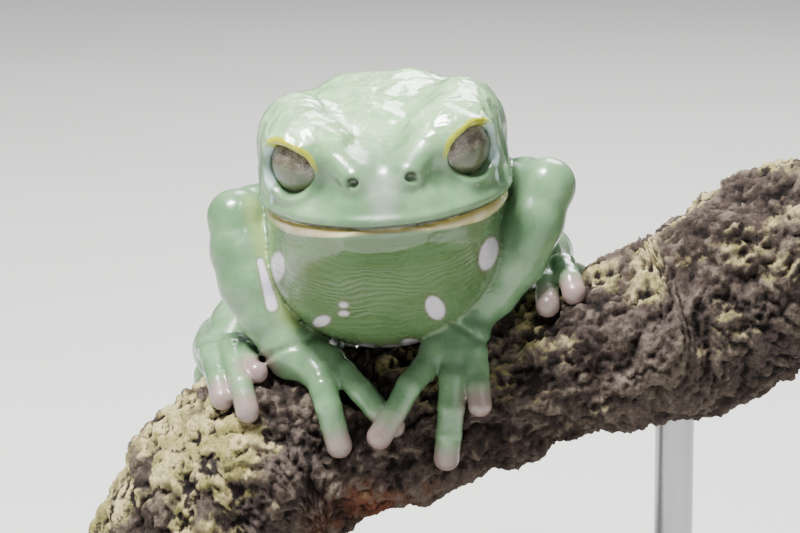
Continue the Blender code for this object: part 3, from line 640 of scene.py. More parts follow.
def surface_net(values, lines):
    """Smooth quads where lattice values change sign: one point in each crossed cell."""
    shape = np.array(values.shape)
    strides = np.array((shape[1] * shape[2], shape[2], 1))
    inside = values < 0.0
    quads, owners, places = [], [], []
    for axis in range(3):
        one, two = np.eye(3, dtype=int)[(axis + 1) % 3], np.eye(3, dtype=int)[(axis + 2) % 3]
        step = np.eye(3, dtype=int)[axis]
        low = tuple(slice(0, -1) if step[i] else slice(1, -1) for i in range(3))
        high = tuple(slice(1, None) if step[i] else slice(1, -1) for i in range(3))
        start = np.argwhere(inside[low] != inside[high]) + (1 - step)
        first = values[tuple(start.T)]
        second = values[tuple((start + step).T)]
        share = first / (first - second)
        point = np.stack([lines[i][start[:, i]] for i in range(3)], axis=1)
        point[:, axis] += share * (lines[axis][start[:, axis] + 1] - point[:, axis])
        corners = [(start - one * i - two * j) @ strides for i, j in ((0, 0), (1, 0), (1, 1), (0, 1))]
        quad = np.stack(corners, axis=1)
        quad[first > 0.0] = quad[first > 0.0][:, ::-1]
        quads.append(quad)
        owners.append(quad.ravel())
        places.append(np.repeat(point, 4, axis=0))
    quads = np.concatenate(quads)
    cells, index = np.unique(np.concatenate(owners), return_inverse=True)
    places = np.concatenate(places)
    counts = np.bincount(index, minlength=len(cells))
    points = np.stack([np.bincount(index, places[:, i]) / counts for i in range(3)], axis=1)
    return points, np.searchsorted(cells, quads)


def slope_of(function, points, reach=0.05):
    """Unit direction in which a field grows fastest."""
    columns = []
    for axis in range(3):
        ahead, behind = points.copy(), points.copy()
        ahead[:, axis] += reach
        behind[:, axis] -= reach
        columns.append(function(tuple(ahead.T)) - function(tuple(behind.T)))
    slope = np.stack(columns, axis=1)
    return slope / np.maximum(np.linalg.norm(slope, axis=1), 1e-9)[:, None]


def noise_at(points, size, seed=0.0):
    """Soft noise of one size at many points."""
    return np.array([noise.noise(Vector(point / size) + Vector((seed, seed, seed))) for point in points])


def in_metres(points):
    """The model's coordinates in metres, from millimetres with the depth from the snout."""
    return METRES * (np.asarray(points) - (0.0, SNOUT_FORWARD, 0.0))


def mesh_from(name, points, faces):
    """A smooth mesh in metres from points in millimetres."""
    mesh = bpy.data.meshes.new(name)
    mesh.from_pydata(in_metres(points).tolist(), [], faces)
    mesh.update()
    mesh.shade_smooth()
    return mesh


def outward_mesh(name, points, faces, close=False):
    """A mesh with its faces turned outward. To close it, its doubles merge and its holes fill."""
    mesh = mesh_from(name, points, faces)
    work = bmesh.new()
    work.from_mesh(mesh)
    if close:
        bmesh.ops.remove_doubles(work, verts=work.verts, dist=0.00002)
        bmesh.ops.holes_fill(work, edges=work.edges, sides=0)
    bmesh.ops.recalc_face_normals(work, faces=work.faces)
    work.to_mesh(mesh)
    work.free()
    mesh.shade_smooth()
    return mesh


def turns(count):
    """Angles of equal steps once round."""
    return [2.0 * math.pi * step / count for step in range(count)]


def tube_faces(rings, spokes):
    """Quads between rings of points that follow each other."""
    faces = []
    for base in range(0, (rings - 1) * spokes, spokes):
        for step in range(spokes):
            onward = (step + 1) % spokes
            faces.append((base + step, base + onward, base + spokes + onward, base + spokes + step))
    return faces


def store(mesh, name, values):
    """Keep one number for each point of a mesh."""
    layer = mesh.attributes.new(name, "FLOAT", "POINT")
    layer.data.foreach_set("value", np.asarray(values, dtype=np.float32))


def add_piece(name, mesh, finish, replaced):
    """An object for a mesh, with its material, body, slot and the nodes that it stands for."""
    made = bpy.data.objects.new(name, mesh)
    bpy.context.scene.collection.objects.link(made)
    mesh.materials.append(finish)
    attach(made, "root")
    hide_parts(*replaced)


def front_plane(points):
    """Side and height of points as the front view shows them, over its middle."""
    rise = (points[:, 2] - VIEW_CENTRE[1]) * math.cos(VIEW_RISE)
    return points[:, 0], rise + (points[:, 1] - VIEW_CENTRE[0]) * math.sin(VIEW_RISE)


def spot_distance(points):
    """Distance in the front plane to the nearest pale spot."""
    side, height = front_plane(points)
    nearest = np.full(len(points), FAR)
    for x, v, half_width, half_height, turn in BODY_SPOTS:
        cos, sin = math.cos(math.radians(turn)), math.sin(math.radians(turn))
        across = (side - x) * cos + (height - v) * sin
        upward = (height - v) * cos - (side - x) * sin
        ratio = np.sqrt((across / half_width) ** 2 + (upward / half_height) ** 2)
        nearest = np.minimum(nearest, (ratio - 1.0) * min(half_width, half_height))
    return nearest


def stripe_distance(points):
    """Distance in the front plane to the pale stripe inside the right forearm."""
    side, height = front_plane(points)
    start, end = (np.array(stop[:2]) for stop in ARM_STRIPE)
    along = end - start
    share = ((side - start[0]) * along[0] + (height - start[1]) * along[1]) / (along @ along)
    share = np.clip(share, 0.0, 1.0)
    away = np.hypot(side - start[0] - share * along[0], height - start[1] - share * along[1])
    return away - (ARM_STRIPE[0][2] + share * (ARM_STRIPE[1][2] - ARM_STRIPE[0][2]))


def mark_skin(mesh, points, normals, pieces):
    """Store the skin's markings as distances and soft masks, and give back the crown's mask."""
    at = tuple(points.T)
    mirrored = mirrored_head(at)
    side, depth, height = mirrored
    head, torso, over = head_field(at), torso_field(at), over_mouth(at)
    on_lips = (1.0 - smooth_step(depth, 17.0, MOUTH_END)) * smooth_step(-np.abs(head), -1.3, -0.9)
    off_lid = smooth_step(from_eye(mirrored), EYE_RADIUS + 1.4, EYE_RADIUS + 2.2)
    inner_low = 1.0 - smooth_step(side, EYE_CENTRE[0] - 2.4, EYE_CENTRE[0] - 1.0)
    lid_height = height - EYE_CENTRE[2] + 0.55 * (EYE_CENTRE[0] - side)
    plate = np.maximum(side - 1.2 - 0.3 * np.clip(height, 0.0, 4.0), height - 4.8)
    front = (torso < 0.6) & (points[:, 1] < 36.0) & (normals[:, 1] < 0.35)
    spots = np.where(front, spot_distance(points), FAR)
    arm = piece_field(at, pieces["forearm_right"])
    spots = np.where(np.abs(arm) < 0.5, stripe_distance(points), spots)
    inner_arm = smooth_step(-np.abs(arm), -0.6, -0.2) * smooth_step(normals[:, 0], 0.15, 0.7)
    tips = [np.array(piece.rods[-1][1][:3]) for piece in pieces.values() if piece.kind in ("finger", "toe")]
    from_tip = np.min([np.linalg.norm(points - tip, axis=1) for tip in tips], axis=0)
    under_lip = smooth_step(-over, 1.0, 1.3)
    jaw = under_lip * (1.0 - smooth_step(np.abs(head), 0.8, 1.4))
    # Throat below the lips, where it faces forward and down: its own darker olive, and painted shade under the
    # head
    throat = smooth_step(-normals[:, 1] - 0.6 * normals[:, 2], -0.1, 0.6)
    throat *= np.maximum(smooth_step(-torso, -0.8, -0.1) * under_lip, jaw)
    # Top of the head: the mask for the crown's wrinkles and coat, and for its painted highlight
    crown = smooth_step(height, 6.0, 9.5) * (1.0 - smooth_step(depth, 30.0, 44.0))
    crown = crown * smooth_step(-head, -1.5, -0.4)
    marks = {
        "over_mouth": over,
        "stripe_deep": curve(side, LIP_STRIPE_DEEP),
        "mouth_reach": on_lips,
        "lid_edge": lid_opening(mirrored) + 2.0 * off_lid,
        "lid_side": np.maximum(lid_height, -2.0 + 3.0 * inner_low),
        # painted highlight: the pale band in front of the groove behind the eye
        "cheek_highlight_strip": rod(mirrored, *CHEEK_STRIP),
        # painted shade: the dark line in the groove behind the eye
        "cheek_groove_shade": rod(mirrored, *CHEEK_LINE),
        "snout_plate": np.maximum(plate, depth - 5.5),
        # Nostril pits, which the material darkens as painted shade
        "nostril": ellipsoid(mirrored, *HEAD_HOLLOWS[1][:2]),
        "fold": np.hypot(0.9 * points[:, 0], points[:, 2] - 82.0),
        "pale_spot": spots,
        "digit_tip": from_tip - TIP_REACH,
        "throat": throat,
        "crown": crown,
        "inner_arm": inner_arm * smooth_step(-normals[:, 1], -0.2, 0.5),
    }
    for name, values in marks.items():
        store(mesh, name, values)
    return crown


def add_skin(pieces, finish):
    """One skin for all the flesh."""
    lines = [graded(stops) for stops in SKIN_LINES]
    points, quads = surface_net(skin_field(spread(lines), pieces), lines)

    def field(at):
        return skin_field(at, pieces)

    for _ in range(SETTLE_STEPS):
        step = np.clip(field(tuple(points.T)), -SETTLE_LIMIT, SETTLE_LIMIT)
        points -= step[:, None] * slope_of(field, points)
    normals = slope_of(field, points)
    mesh = mesh_from("skin", points, quads.tolist())
    crown = mark_skin(mesh, points, normals, pieces)
    wrinkle = crown * sum(size * (0.3 - np.abs(noise_at(points, step, seed)))
                          for size, step, seed in CROWN_FOLDS)
    size, step, seed = FLANK_NOISE
    moved = points + (wrinkle + (1.0 - crown) * size * noise_at(points, step, seed))[:, None] * normals
    mesh.vertices.foreach_set("co", in_metres(moved).ravel())
    mesh.update()
    replaced = [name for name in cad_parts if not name.startswith(("eye_", "perch", "stand_"))]
    add_piece("skin", mesh, finish, replaced)


# Eyes

def sphere_points(centre, axes, radius, angles, segments):
    """Rings of points round an axis at polar angles."""
    gaze, across, up = axes
    points = []
    for angle in angles:
        for turn in turns(segments):
            ring = math.sin(angle) * (math.cos(turn) * across + math.sin(turn) * up)
            points.append(centre + radius * (math.cos(angle) * gaze + ring))
    return points


def head_direction(vector, side):
    """A direction in the head's axes, mirrored for the right side, in the model's axes."""
    turned = head_point(outward(side) * vector[0], vector[1], vector[2]) - head_point(0.0, 0.0, 0.0)
    return turned / np.linalg.norm(turned)


def add_eye(side, finish):
    """An eyeball whose lower part swells under the thin lower lid drawn over it."""
    centre = head_point(outward(side) * EYE_CENTRE[0], EYE_CENTRE[1], EYE_CENTRE[2])
    axes = [head_direction(vector, side) for vector in eye_axes()]
    up = head_direction(LOWER_LID_UP, side)
    angles = np.linspace(POLE_GAP, math.pi - POLE_GAP, EYE_SEGMENTS // 2 + 1)
    points = sphere_points(centre, axes, EYE_RADIUS, angles, EYE_SEGMENTS)
    rays = (np.array(points) - centre) / EYE_RADIUS
    under = smooth_step(LOWER_LID_EDGE - EYE_RADIUS * (rays @ up), -0.3, 0.2)
    points = centre + (EYE_RADIUS + LOWER_LID_THICKNESS * under)[:, None] * rays
    mesh = outward_mesh(f"eyeball_{side}", points, tube_faces(len(angles), EYE_SEGMENTS), close=True)
    places = np.array([vert.co for vert in mesh.vertices]) / METRES + (0.0, SNOUT_FORWARD, 0.0)
    store(mesh, "eye_height", (places - centre) @ up)
    add_piece(f"eyeball_{side}", mesh, finish, [f"eye_{side}"])


# Branch

def perch_surface(places, directions):
    """Reach of the bark from the middle line along many directions."""
    low, high = np.full(len(places), 2.0), np.full(len(places), 24.0)
    for _ in range(18):
        middle = 0.5 * (low + high)
        outside = perch_body(tuple((places + middle[:, None] * directions).T)) > 0.0
        high = np.where(outside, middle, high)
        low = np.where(outside, low, middle)
    return high


def perch_frame(x):
    """Middle point of the perch, and its direction, at a side position."""
    along = np.array((1.0, 0.0, perch_axis_height(x + 0.5) - perch_axis_height(x - 0.5)))
    return np.array((x, PERCH_DEPTH, perch_axis_height(x))), along / np.linalg.norm(along)


def perch_rings(rings, spokes):
    """Middle point, outward direction and the branch's own direction for each point of the tube."""
    places, directions, runs = [], [], []
    across = np.array((0.0, -1.0, 0.0))
    for x in np.linspace(PERCH_LEFT_END, PERCH_RIGHT_END, rings):
        centre, along = perch_frame(x)
        up = np.cross(across, along)
        up = up if up[2] > 0.0 else -up
        for turn in turns(spokes):
            places.append(centre)
            directions.append(math.cos(turn) * across + math.sin(turn) * up)
            runs.append(Vector(along))
    return np.array(places), np.array(directions), runs


def bark_relief(point, along):
    """Height of ridges, cracks and crumbs at one place, in millimetres."""
    place = Vector(point)
    bent = place
    for reach, size in BARK_BENDS:
        bent = bent + reach * noise.noise_vector(place / size)
    stretched = bent - BARK_STRETCH * bent.dot(along) * along
    depth, size, narrowing = BARK_CLEFTS
    cleft = 1.0 - abs(noise.noise(stretched / size + Vector((7.0, 1.0, 3.0)))) * narrowing
    folds = noise.ridged_multi_fractal(stretched / BARK_FOLDS[1], 0.7, 2.2, 4, 1.0, 2.0)
    crumbs = noise.ridged_multi_fractal(place / BARK_CRUMBS[1], 0.6, 2.2, 3, 1.0, 2.0)
    lumps = noise.fractal(place / BARK_LUMPS[1], 1.0, 2.0, 2)
    raised = BARK_FOLDS[0] * (folds - 1.1) + BARK_LUMPS[0] * lumps + BARK_CRUMBS[0] * (crumbs - 1.0)
    return raised - depth * max(0.0, cleft) + 0.1


def sawn_end(points, faces, rim, centre):
    """Close one end of the tube with rings that shrink to its middle point."""
    count = len(rim)
    outer = rim
    for ring in range(1, CAP_RINGS):
        shrink = 1.0 - ring / CAP_RINGS
        inner = list(range(len(points), len(points) + count))
        points += [centre + shrink * (points[index] - centre) for index in rim]
        for step in range(count):
            onward = (step + 1) % count
            faces.append((outer[step], inner[step], inner[onward], outer[onward]))
        outer = inner
    faces += [(outer[step], len(points), outer[(step + 1) % count]) for step in range(count)]
    points.append(centre)


def add_bark(pieces, finishes):
    """The branch: a knobbly tube with deep cracks, and two sawn ends."""
    noise.seed_set(BARK_SEED)
    rings, spokes = BARK_STEPS
    places, directions, runs = perch_rings(rings, spokes)
    points = places + perch_surface(places, directions)[:, None] * directions
    relief = np.array([bark_relief(point, run) for point, run in zip(points, runs)])
    flesh = flesh_field(tuple(points.T), pieces)
    lift = np.minimum(relief, 0.05 + 0.7 * np.clip(flesh, 0.0, None))
    edge = np.minimum(np.arange(rings), np.arange(rings)[::-1]).repeat(spokes)
    lift = lift * np.clip(edge / 4.0, 0.0, 1.0) - BARK_RIM * (1.0 - np.clip(edge / 3.0, 0.0, 1.0)) ** 2
    points = list(points + lift[:, None] * directions)
    faces = tube_faces(rings, spokes)
    bark_count = len(faces)
    for first, x in ((0, PERCH_LEFT_END), ((rings - 1) * spokes, PERCH_RIGHT_END)):
        sawn_end(points, faces, range(first, first + spokes), perch_frame(x)[0])
    mesh = outward_mesh("bark", points, faces)
    side, _, height = np.array(points).T
    store(mesh, "bark_height", np.append(lift, np.zeros(len(points) - len(lift))))
    store(mesh, "crusted", smooth_step(-side, 11.0, 19.0) * smooth_step(height, 12.0, 26.0))
    store(mesh, "bare", bell(side, -1.0, 6.5) * (1.0 - smooth_step(height, 27.0, 33.0)))
    add_piece("bark", mesh, finishes["bark"], ["perch"])
    mesh.materials.append(finishes["sawn_wood"])
    mesh.polygons.foreach_set("material_index", [0] * bark_count + [1] * (len(faces) - bark_count))


# Stand

def add_rod(name, x, finish):
    """A smooth upright rod with eased ends."""
    low, high = (corner.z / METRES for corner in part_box(name))
    eased = ROD_RADIUS - ROD_EASE
    profile = ((0.0, low), (eased, low), (ROD_RADIUS, low + ROD_EASE), (ROD_RADIUS, high - ROD_EASE),
               (eased, high), (0.0, high))
    points = [(x + radius * math.cos(turn), PERCH_DEPTH + radius * math.sin(turn), z)
              for radius, z in profile for turn in turns(ROD_STEPS)]
    mesh = outward_mesh(f"{name}_steel", points, tube_faces(len(profile), ROD_STEPS), close=True)
    mesh.set_sharp_from_angle(angle=math.radians(35.0))
    add_piece(f"{name}_steel", mesh, finish, [name])


# Materials

def new_material(name):
    """A material, its node tree and its shader."""
    made = bpy.data.materials.new(name)
    made.use_nodes = True
    return made, made.node_tree, made.node_tree.nodes["Principled BSDF"]


def feed(tree, made, inputs):
    """Give a node's inputs their values, or link them to sockets."""
    for name, value in inputs.items():
        if isinstance(value, bpy.types.NodeSocket):
            tree.links.new(value, made.inputs[name])
        else:
            made.inputs[name].default_value = value


def node(tree, kind, inputs=None, **settings):
    """A shader node with its settings, and its inputs as values or as sockets to link."""
    made = tree.nodes.new(kind)
    for name, value in settings.items():
        setattr(made, name, value)
    feed(tree, made, inputs or {})
    return made


def object_place(tree):
    """Object coordinates."""
    return node(tree, "ShaderNodeTexCoord").outputs["Object"]


def soft_noise(tree, place, scale, detail, **settings):
    """Noise of one size."""
    inputs = {"Vector": place, "Scale": scale, "Detail": detail, **settings}
    return node(tree, "ShaderNodeTexNoise", inputs).outputs["Fac"]


def attribute(tree, name):
    """A number that is stored on the mesh."""
    return node(tree, "ShaderNodeAttribute", attribute_name=name).outputs["Fac"]


def ramp(tree, value, low, high, start=0.0, end=1.0):
    """Smooth change from one value to another as the input passes from low to high."""
    made = node(tree, "ShaderNodeMapRange", {"Value": value, "From Min": low, "From Max": high,
                                              "To Min": start, "To Max": end},
                interpolation_type="SMOOTHSTEP", clamp=True)
    return made.outputs["Result"]


def mix(tree, share, first, second):
    """Mix of two colours."""
    return node(tree, "ShaderNodeMix", {"Factor": share, 6: first, 7: second}, data_type="RGBA").outputs[2]


def layered(tree, base, *layers):
    """A colour under layers, each with its share and its colour."""
    for share, tint in layers:
        base = mix(tree, share, base, tint)
    return base


def maths(tree, operation, *numbers):
    """One sum on numbers."""
    return node(tree, "ShaderNodeMath", dict(enumerate(numbers)), operation=operation).outputs[0]


def product(tree, first, second):
    """Two numbers multiplied."""
    return maths(tree, "MULTIPLY", first, second)


def colour(red, green, blue):
    """A colour given as 0 to 255 screen values."""
    linear = [((part / 255.0 + 0.055) / 1.055) ** 2.4 if part > 10 else part / 255.0 / 12.92
              for part in (red, green, blue)]
    return (*linear, 1.0)


def mottle_group():
    """Shared soft blotches: a mask between two levels, from noise of a given size."""
    tree = bpy.data.node_groups.new("soft_mottle", "ShaderNodeTree")
    for name, value in (("Scale", 200.0), ("Detail", 3.0), ("Low", 0.35), ("High", 0.65)):
        socket = tree.interface.new_socket(name, in_out="INPUT", socket_type="NodeSocketFloat")
        socket.default_value = value
    tree.interface.new_socket("Mask", in_out="OUTPUT", socket_type="NodeSocketFloat")
    given = tree.nodes.new("NodeGroupInput").outputs
    result = tree.nodes.new("NodeGroupOutput")
    blotches = soft_noise(tree, object_place(tree), given["Scale"], given["Detail"])
    tree.links.new(ramp(tree, blotches, given["Low"], given["High"]), result.inputs["Mask"])


def mottle(tree, scale, low=0.35, high=0.65, detail=3.0):
    """Blotch mask of one size in a material."""
    made = tree.nodes.new("ShaderNodeGroup")
    made.node_tree = bpy.data.node_groups["soft_mottle"]
    feed(tree, made, {"Scale": scale, "Detail": detail, "Low": low, "High": high})
    return made.outputs["Mask"]


def bump(tree, height, strength, distance, under=None):
    """Relief from a height, on the relief under it if there is any."""
    inputs = {"Height": height, "Strength": strength, "Distance": distance}
    if under is not None:
        inputs["Normal"] = under
    return node(tree, "ShaderNodeBump", inputs).outputs["Normal"]


def mark(tree, name, low, high, start=0.0, end=1.0):
    """Smooth change of a number that is stored on the mesh."""
    return ramp(tree, attribute(tree, name), low, high, start, end)


def lip_layers(tree):
    """The cream stripe under the mouth, yellow at its top, and the dark line of the mouth."""
    over = attribute(tree, "over_mouth")
    reach = attribute(tree, "mouth_reach")
    deep = attribute(tree, "stripe_deep")
    from_top = maths(tree, "SUBTRACT", LIP_STRIPE_TOP, over)
    above_low = ramp(tree, maths(tree, "SUBTRACT", deep, from_top), -0.1, 0.1)
    stripe = product(tree, product(tree, ramp(tree, from_top, -0.07, 0.07), above_low), reach)
    cream = mix(tree, mottle(tree, 300.0, 0.4, 0.6), colour(192, 182, 148), colour(172, 162, 112))
    cream = layered(tree, cream, (ramp(tree, from_top, 0.1, 0.45, 0.9, 0.0), colour(170, 150, 60)),
                    (ramp(tree, deep, 0.45, 0.8, 0.75, 0.0), colour(112, 106, 66)))
    line = product(tree, ramp(tree, over, -0.32, -0.08), ramp(tree, over, 0.04, 0.28, 1.0, 0.0))
    return (stripe, cream), (product(tree, line, reach), colour(50, 52, 34))


def skin_relief(tree, throat, crown):
    """Fine grain, the throat's wavy creases and the crown's wet wrinkles."""
    place = object_place(tree)
    waver = product(tree, soft_noise(tree, place, 170.0, 3.0), 40.0)
    phase = maths(tree, "MULTIPLY_ADD", attribute(tree, "fold"), 9.0, waver)
    creases = product(tree, maths(tree, "SINE", phase), throat)
    relief = bump(tree, soft_noise(tree, place, 1500.0, 3.0), 0.15, 0.0002)
    relief = bump(tree, creases, 0.22, 0.0001, relief)
    return bump(tree, product(tree, soft_noise(tree, place, 420.0, 3.0), crown), 0.7, 0.0008, relief)


def skin_material():
    """Wet, waxy green skin with cream lips, yellow lid rims and pale spots."""
    made, tree, shader = new_material("frog_skin")
    throat = attribute(tree, "throat")
    crown = attribute(tree, "crown")
    ragged = node(tree, "ShaderNodeTexNoise", {"Scale": RAGGED_SCALE, "Detail": 2.0}).outputs["Fac"]
    spot = maths(tree, "MULTIPLY_ADD", maths(tree, "SUBTRACT", ragged, 0.5), 0.7, attribute(tree, "pale_spot"))
    rim = product(tree, mark(tree, "lid_edge", 0.65, 0.95, 1.0, 0.0), mark(tree, "lid_side", -0.6, 0.6))
    base = layered(
        tree, mix(tree, mottle(tree, 160.0, 0.3, 0.7), colour(86, 118, 84), colour(114, 146, 108)),
        # painted highlight: the top of the head painted paler, where the light from above falls
        (crown, colour(150, 190, 138)),
        (product(tree, mottle(tree, 420.0, 0.45, 0.62), 0.3), colour(76, 116, 76)),
        (mark(tree, "snout_plate", -0.8, 0.8, 0.6, 0.0), colour(138, 150, 136)),
        # painted shade: the inside of the nostril pits darkened
        (mark(tree, "nostril", -0.1, 0.15, 0.8, 0.0), colour(52, 58, 44)),
        # darker throat: partly its own olive tone, partly painted shade under the head
        (throat, colour(80, 106, 66)),
        (product(tree, attribute(tree, "inner_arm"), 0.6), colour(164, 184, 112)),
        # painted highlight: pale bluish band along the cheek, in front of the groove
        (mark(tree, "cheek_highlight_strip", 0.1, 0.6, 0.8, 0.0), colour(182, 202, 206)),
        # painted shade: dark line in the groove behind the eye
        (mark(tree, "cheek_groove_shade", 0.1, 0.5, 0.85, 0.0), colour(52, 70, 72)),
        (ramp(tree, spot, 0.1, 0.4, 0.6, 0.0), colour(92, 88, 66)),
        (ramp(tree, spot, -0.1, 0.14, 1.0, 0.0), colour(196, 188, 198)),
        (product(tree, mark(tree, "digit_tip", -1.6, 1.2, 1.0, 0.0), 0.85), colour(142, 106, 113)),
        *lip_layers(tree),
        (rim, colour(158, 160, 4)),
    )
    feed(tree, shader, {
        "Base Color": base,
        "Roughness": ramp(tree, mottle(tree, 260.0), 0.0, 1.0, 0.22, 0.42),
        "Subsurface Weight": 0.1,
        "Subsurface Radius": (0.5, 1.0, 0.35),
        "Subsurface Scale": 0.001,
        "Coat Weight": ramp(tree, crown, 0.0, 1.0, 0.3, 0.8),
        "Coat Roughness": 0.08,
        "Normal": skin_relief(tree, throat, crown),
    })
    return made


def eye_material():
    """Silver-tan eye with a fine dark net, darker at its top, under an olive lower lid."""
    made, tree, shader = new_material("eye_net")
    place = object_place(tree)
    warp = node(tree, "ShaderNodeTexNoise", {"Vector": place, "Scale": 900.0, "Detail": 2.0}).outputs["Color"]
    bent = node(tree, "ShaderNodeVectorMath", {0: warp, 1: (0.0006, 0.0006, 0.0006), 2: place},
                operation="MULTIPLY_ADD").outputs[0]
    cells = node(tree, "ShaderNodeTexVoronoi", {"Vector": bent, "Scale": 3200.0}, feature="DISTANCE_TO_EDGE")
    height = attribute(tree, "eye_height")
    lid = mix(tree, mottle(tree, 900.0), colour(64, 72, 46), colour(84, 92, 62))
    lid_share = ramp(tree, height, LOWER_LID_EDGE - 0.45, LOWER_LID_EDGE + 0.25, 1.0, 0.0)
    base = layered(
        tree, mix(tree, mottle(tree, 900.0), colour(104, 96, 82), colour(146, 139, 124)),
        (ramp(tree, cells.outputs["Distance"], 0.02, 0.22, 0.65, 0.0), colour(64, 52, 50)),
        (ramp(tree, height, 0.4, 1.8, 0.0, 0.6), colour(92, 72, 72)),
        (lid_share, lid),
    )
    feed(tree, shader, {
        "Base Color": base,
        "Roughness": ramp(tree, lid_share, 0.0, 1.0, 0.16, 0.34),
        "Coat Weight": 0.4,
        "Coat Roughness": 0.06,
    })
    return made


def bark_material():
    """Craggy brown bark with painted shade that makes its cracks nearly black, and pale lichens on its raised
    upper parts, which on upward faces also stand for a painted highlight.
    """
    made, tree, shader = new_material("craggy_bark")
    place = object_place(tree)
    grain = soft_noise(tree, place, 800.0, 8.0, Roughness=0.7)
    crumbs = soft_noise(tree, place, 2600.0, 4.0)
    height = maths(tree, "MULTIPLY_ADD", maths(tree, "SUBTRACT", grain, 0.5), 2.4,
                   attribute(tree, "bark_height"))
    facing = node(tree, "ShaderNodeNewGeometry").outputs["Normal"]
    up = node(tree, "ShaderNodeSeparateXYZ", {"Vector": facing}).outputs["Z"]
    crusted = attribute(tree, "crusted")
    patches = maths(tree, "MULTIPLY_ADD", crusted, 0.45, mottle(tree, 160.0, 0.4, 0.62, 5.0))
    # Pale lichens: a real crust at the left end; on upward faces they also stand for a painted highlight on
    # the branch's top
    lichen_and_highlight = product(tree, ramp(tree, maths(tree, "ADD", up, crusted), -0.1, 0.9),
                     ramp(tree, patches, 0.5, 1.1))
    pale = mix(tree, mottle(tree, 420.0, 0.4, 0.6), colour(206, 190, 138), colour(156, 148, 92))
    base = layered(
        tree, mix(tree, mottle(tree, 110.0), colour(60, 49, 43), colour(88, 76, 70)),
        (product(tree, attribute(tree, "bare"), mottle(tree, 160.0, 0.4, 0.6)), colour(124, 76, 56)),
        (ramp(tree, height, 0.05, 0.7), colour(112, 100, 88)),
        # lichens, with a painted highlight on the upper faces
        (product(tree, lichen_and_highlight, ramp(tree, height, -0.35, 0.1)), pale),
        # painted shade: cracks and hollows of the bark darkened nearly to black
        (ramp(tree, height, -0.65, 0.1, 0.96, 0.0), colour(20, 15, 13)),
        # painted shade: the low parts of the fine crumbs darkened
        (ramp(tree, crumbs, 0.3, 0.5, 0.45, 0.0), colour(34, 27, 23)),
    )
    feed(tree, shader, {
        "Base Color": base,
        "Roughness": 0.9,
        "Specular IOR Level": 0.2,
        "Normal": bump(tree, crumbs, 0.6, 0.0003, bump(tree, grain, 0.9, 0.0011)),
    })
    return made


def sawn_wood_material():
    """Pale sawn wood with fine wavy bands."""
    made, tree, shader = new_material("sawn_wood")
    bands = node(tree, "ShaderNodeTexWave", {"Vector": object_place(tree), "Scale": 220.0, "Distortion": 2.0,
                                             "Detail": 3.0}, wave_type="BANDS", bands_direction="Y")
    base = layered(
        tree, mix(tree, bands.outputs["Fac"], colour(150, 118, 84), colour(188, 158, 120)),
        (product(tree, mottle(tree, 300.0), 0.4), colour(120, 92, 66)),
    )
    feed(tree, shader, {"Base Color": base, "Roughness": 0.8})
    return made


def stretched_place(tree, scale):
    """Object coordinates, drawn out along an axis."""
    return node(tree, "ShaderNodeMapping", {"Vector": object_place(tree), "Scale": scale}).outputs["Vector"]


def stand_material():
    """Dark stained wood with a satin varnish."""
    made, tree, shader = new_material("stained_wood")
    grain = soft_noise(tree, stretched_place(tree, (1.0, 9.0, 9.0)), 60.0, 5.0, Distortion=0.8)
    feed(tree, shader, {
        "Base Color": mix(tree, ramp(tree, grain, 0.35, 0.65), colour(44, 32, 26), colour(70, 50, 38)),
        "Roughness": ramp(tree, grain, 0.3, 0.7, 0.3, 0.42),
        "Normal": bump(tree, grain, 0.1, 0.0002),
        "Coat Weight": 0.25,
        "Coat Roughness": 0.25,
    })
    return made


def steel_material():
    """Brushed steel rod."""
    made, tree, shader = new_material("brushed_rod")
    brushed = soft_noise(tree, stretched_place(tree, (1.0, 1.0, 0.02)), 4000.0, 2.0)
    feed(tree, shader, {
        "Base Color": mix(tree, brushed, colour(150, 150, 152), colour(190, 190, 192)),
        "Roughness": ramp(tree, brushed, 0.3, 0.7, 0.28, 0.42),
        "Metallic": 1.0,
    })
    return made


def floor_material():
    """Pale grey floor with a faint cloudiness."""
    made, tree, shader = new_material("pale_floor")
    base = mix(tree, mottle(tree, 9.0), (0.55, 0.55, 0.53, 1.0), (0.57, 0.57, 0.55, 1.0))
    feed(tree, shader, {"Base Color": base, "Roughness": 0.7})
    return made


# Camera, floor and light

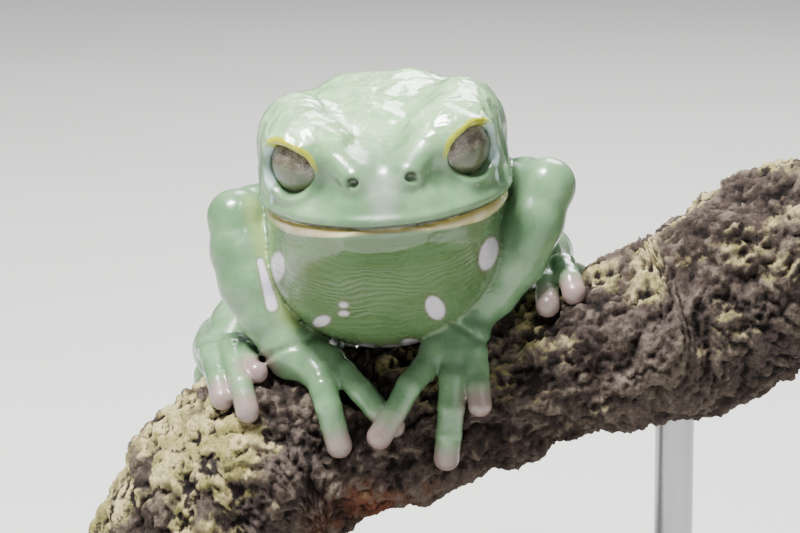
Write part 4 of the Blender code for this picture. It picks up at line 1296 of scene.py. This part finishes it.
def add_camera():
    """The camera in front, looking a little down."""
    data = bpy.data.cameras.new("camera")
    data.sensor_width = SENSOR_WIDTH
    data.lens = SENSOR_WIDTH * CAMERA_DISTANCE / FRAME_WIDTH
    data.clip_start = 0.01
    made = bpy.data.objects.new("camera", data)
    back = Vector((0.0, -math.cos(VIEW_RISE), math.sin(VIEW_RISE)))
    made.location = Vector(CAMERA_AIM) + CAMERA_DISTANCE * back
    made.rotation_euler = (-back).to_track_quat("-Z", "Y").to_euler()
    bpy.context.scene.collection.objects.link(made)
    bpy.context.scene.camera = made


def add_light(name, place, size, power):
    """A square soft light that faces the frog."""
    data = bpy.data.lights.new(name, "AREA")
    data.size = size
    data.energy = power
    made = bpy.data.objects.new(name, data)
    made.location = place
    made.rotation_euler = (Vector(CAMERA_AIM) - Vector(place)).to_track_quat("-Z", "Y").to_euler()
    bpy.context.scene.collection.objects.link(made)


def add_stage():
    """Pale floor, soft lights and a pale world."""
    mesh = bpy.data.meshes.new("floor")
    corners = [(FLOOR_REACH * x, FLOOR_REACH * y, 0.0) for x, y in ((-1, -1), (1, -1), (1, 1), (-1, 1))]
    mesh.from_pydata(corners, [], [(0, 1, 2, 3)])
    floor = bpy.data.objects.new("floor", mesh)
    bpy.context.scene.collection.objects.link(floor)
    mesh.materials.append(floor_material())
    for name, settings in LIGHTS.items():
        add_light(name, *settings)
    world = bpy.data.worlds.new("studio")
    world.use_nodes = True
    background = world.node_tree.nodes["Background"]
    background.inputs["Color"].default_value = WORLD_TINT
    background.inputs["Strength"].default_value = WORLD_STRENGTH
    bpy.context.scene.world = world


def main():
    """Dress the frame."""
    mottle_group()
    finishes = {
        "skin": skin_material(), "eye": eye_material(), "bark": bark_material(),
        "sawn_wood": sawn_wood_material(), "stand": stand_material(), "rod": steel_material(),
    }
    pieces = frog_pieces()
    add_camera()
    add_stage()
    add_skin(pieces, finishes["skin"])
    for side in ("right", "left"):
        add_eye(side, finishes["eye"])
    add_bark(pieces, finishes)
    for name, x in ROD_PLACES.items():
        add_rod(name, x, finishes["rod"])
    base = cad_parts["stand_base"]
    base.data.materials.clear()
    base.data.materials.append(finishes["stand"])


main()
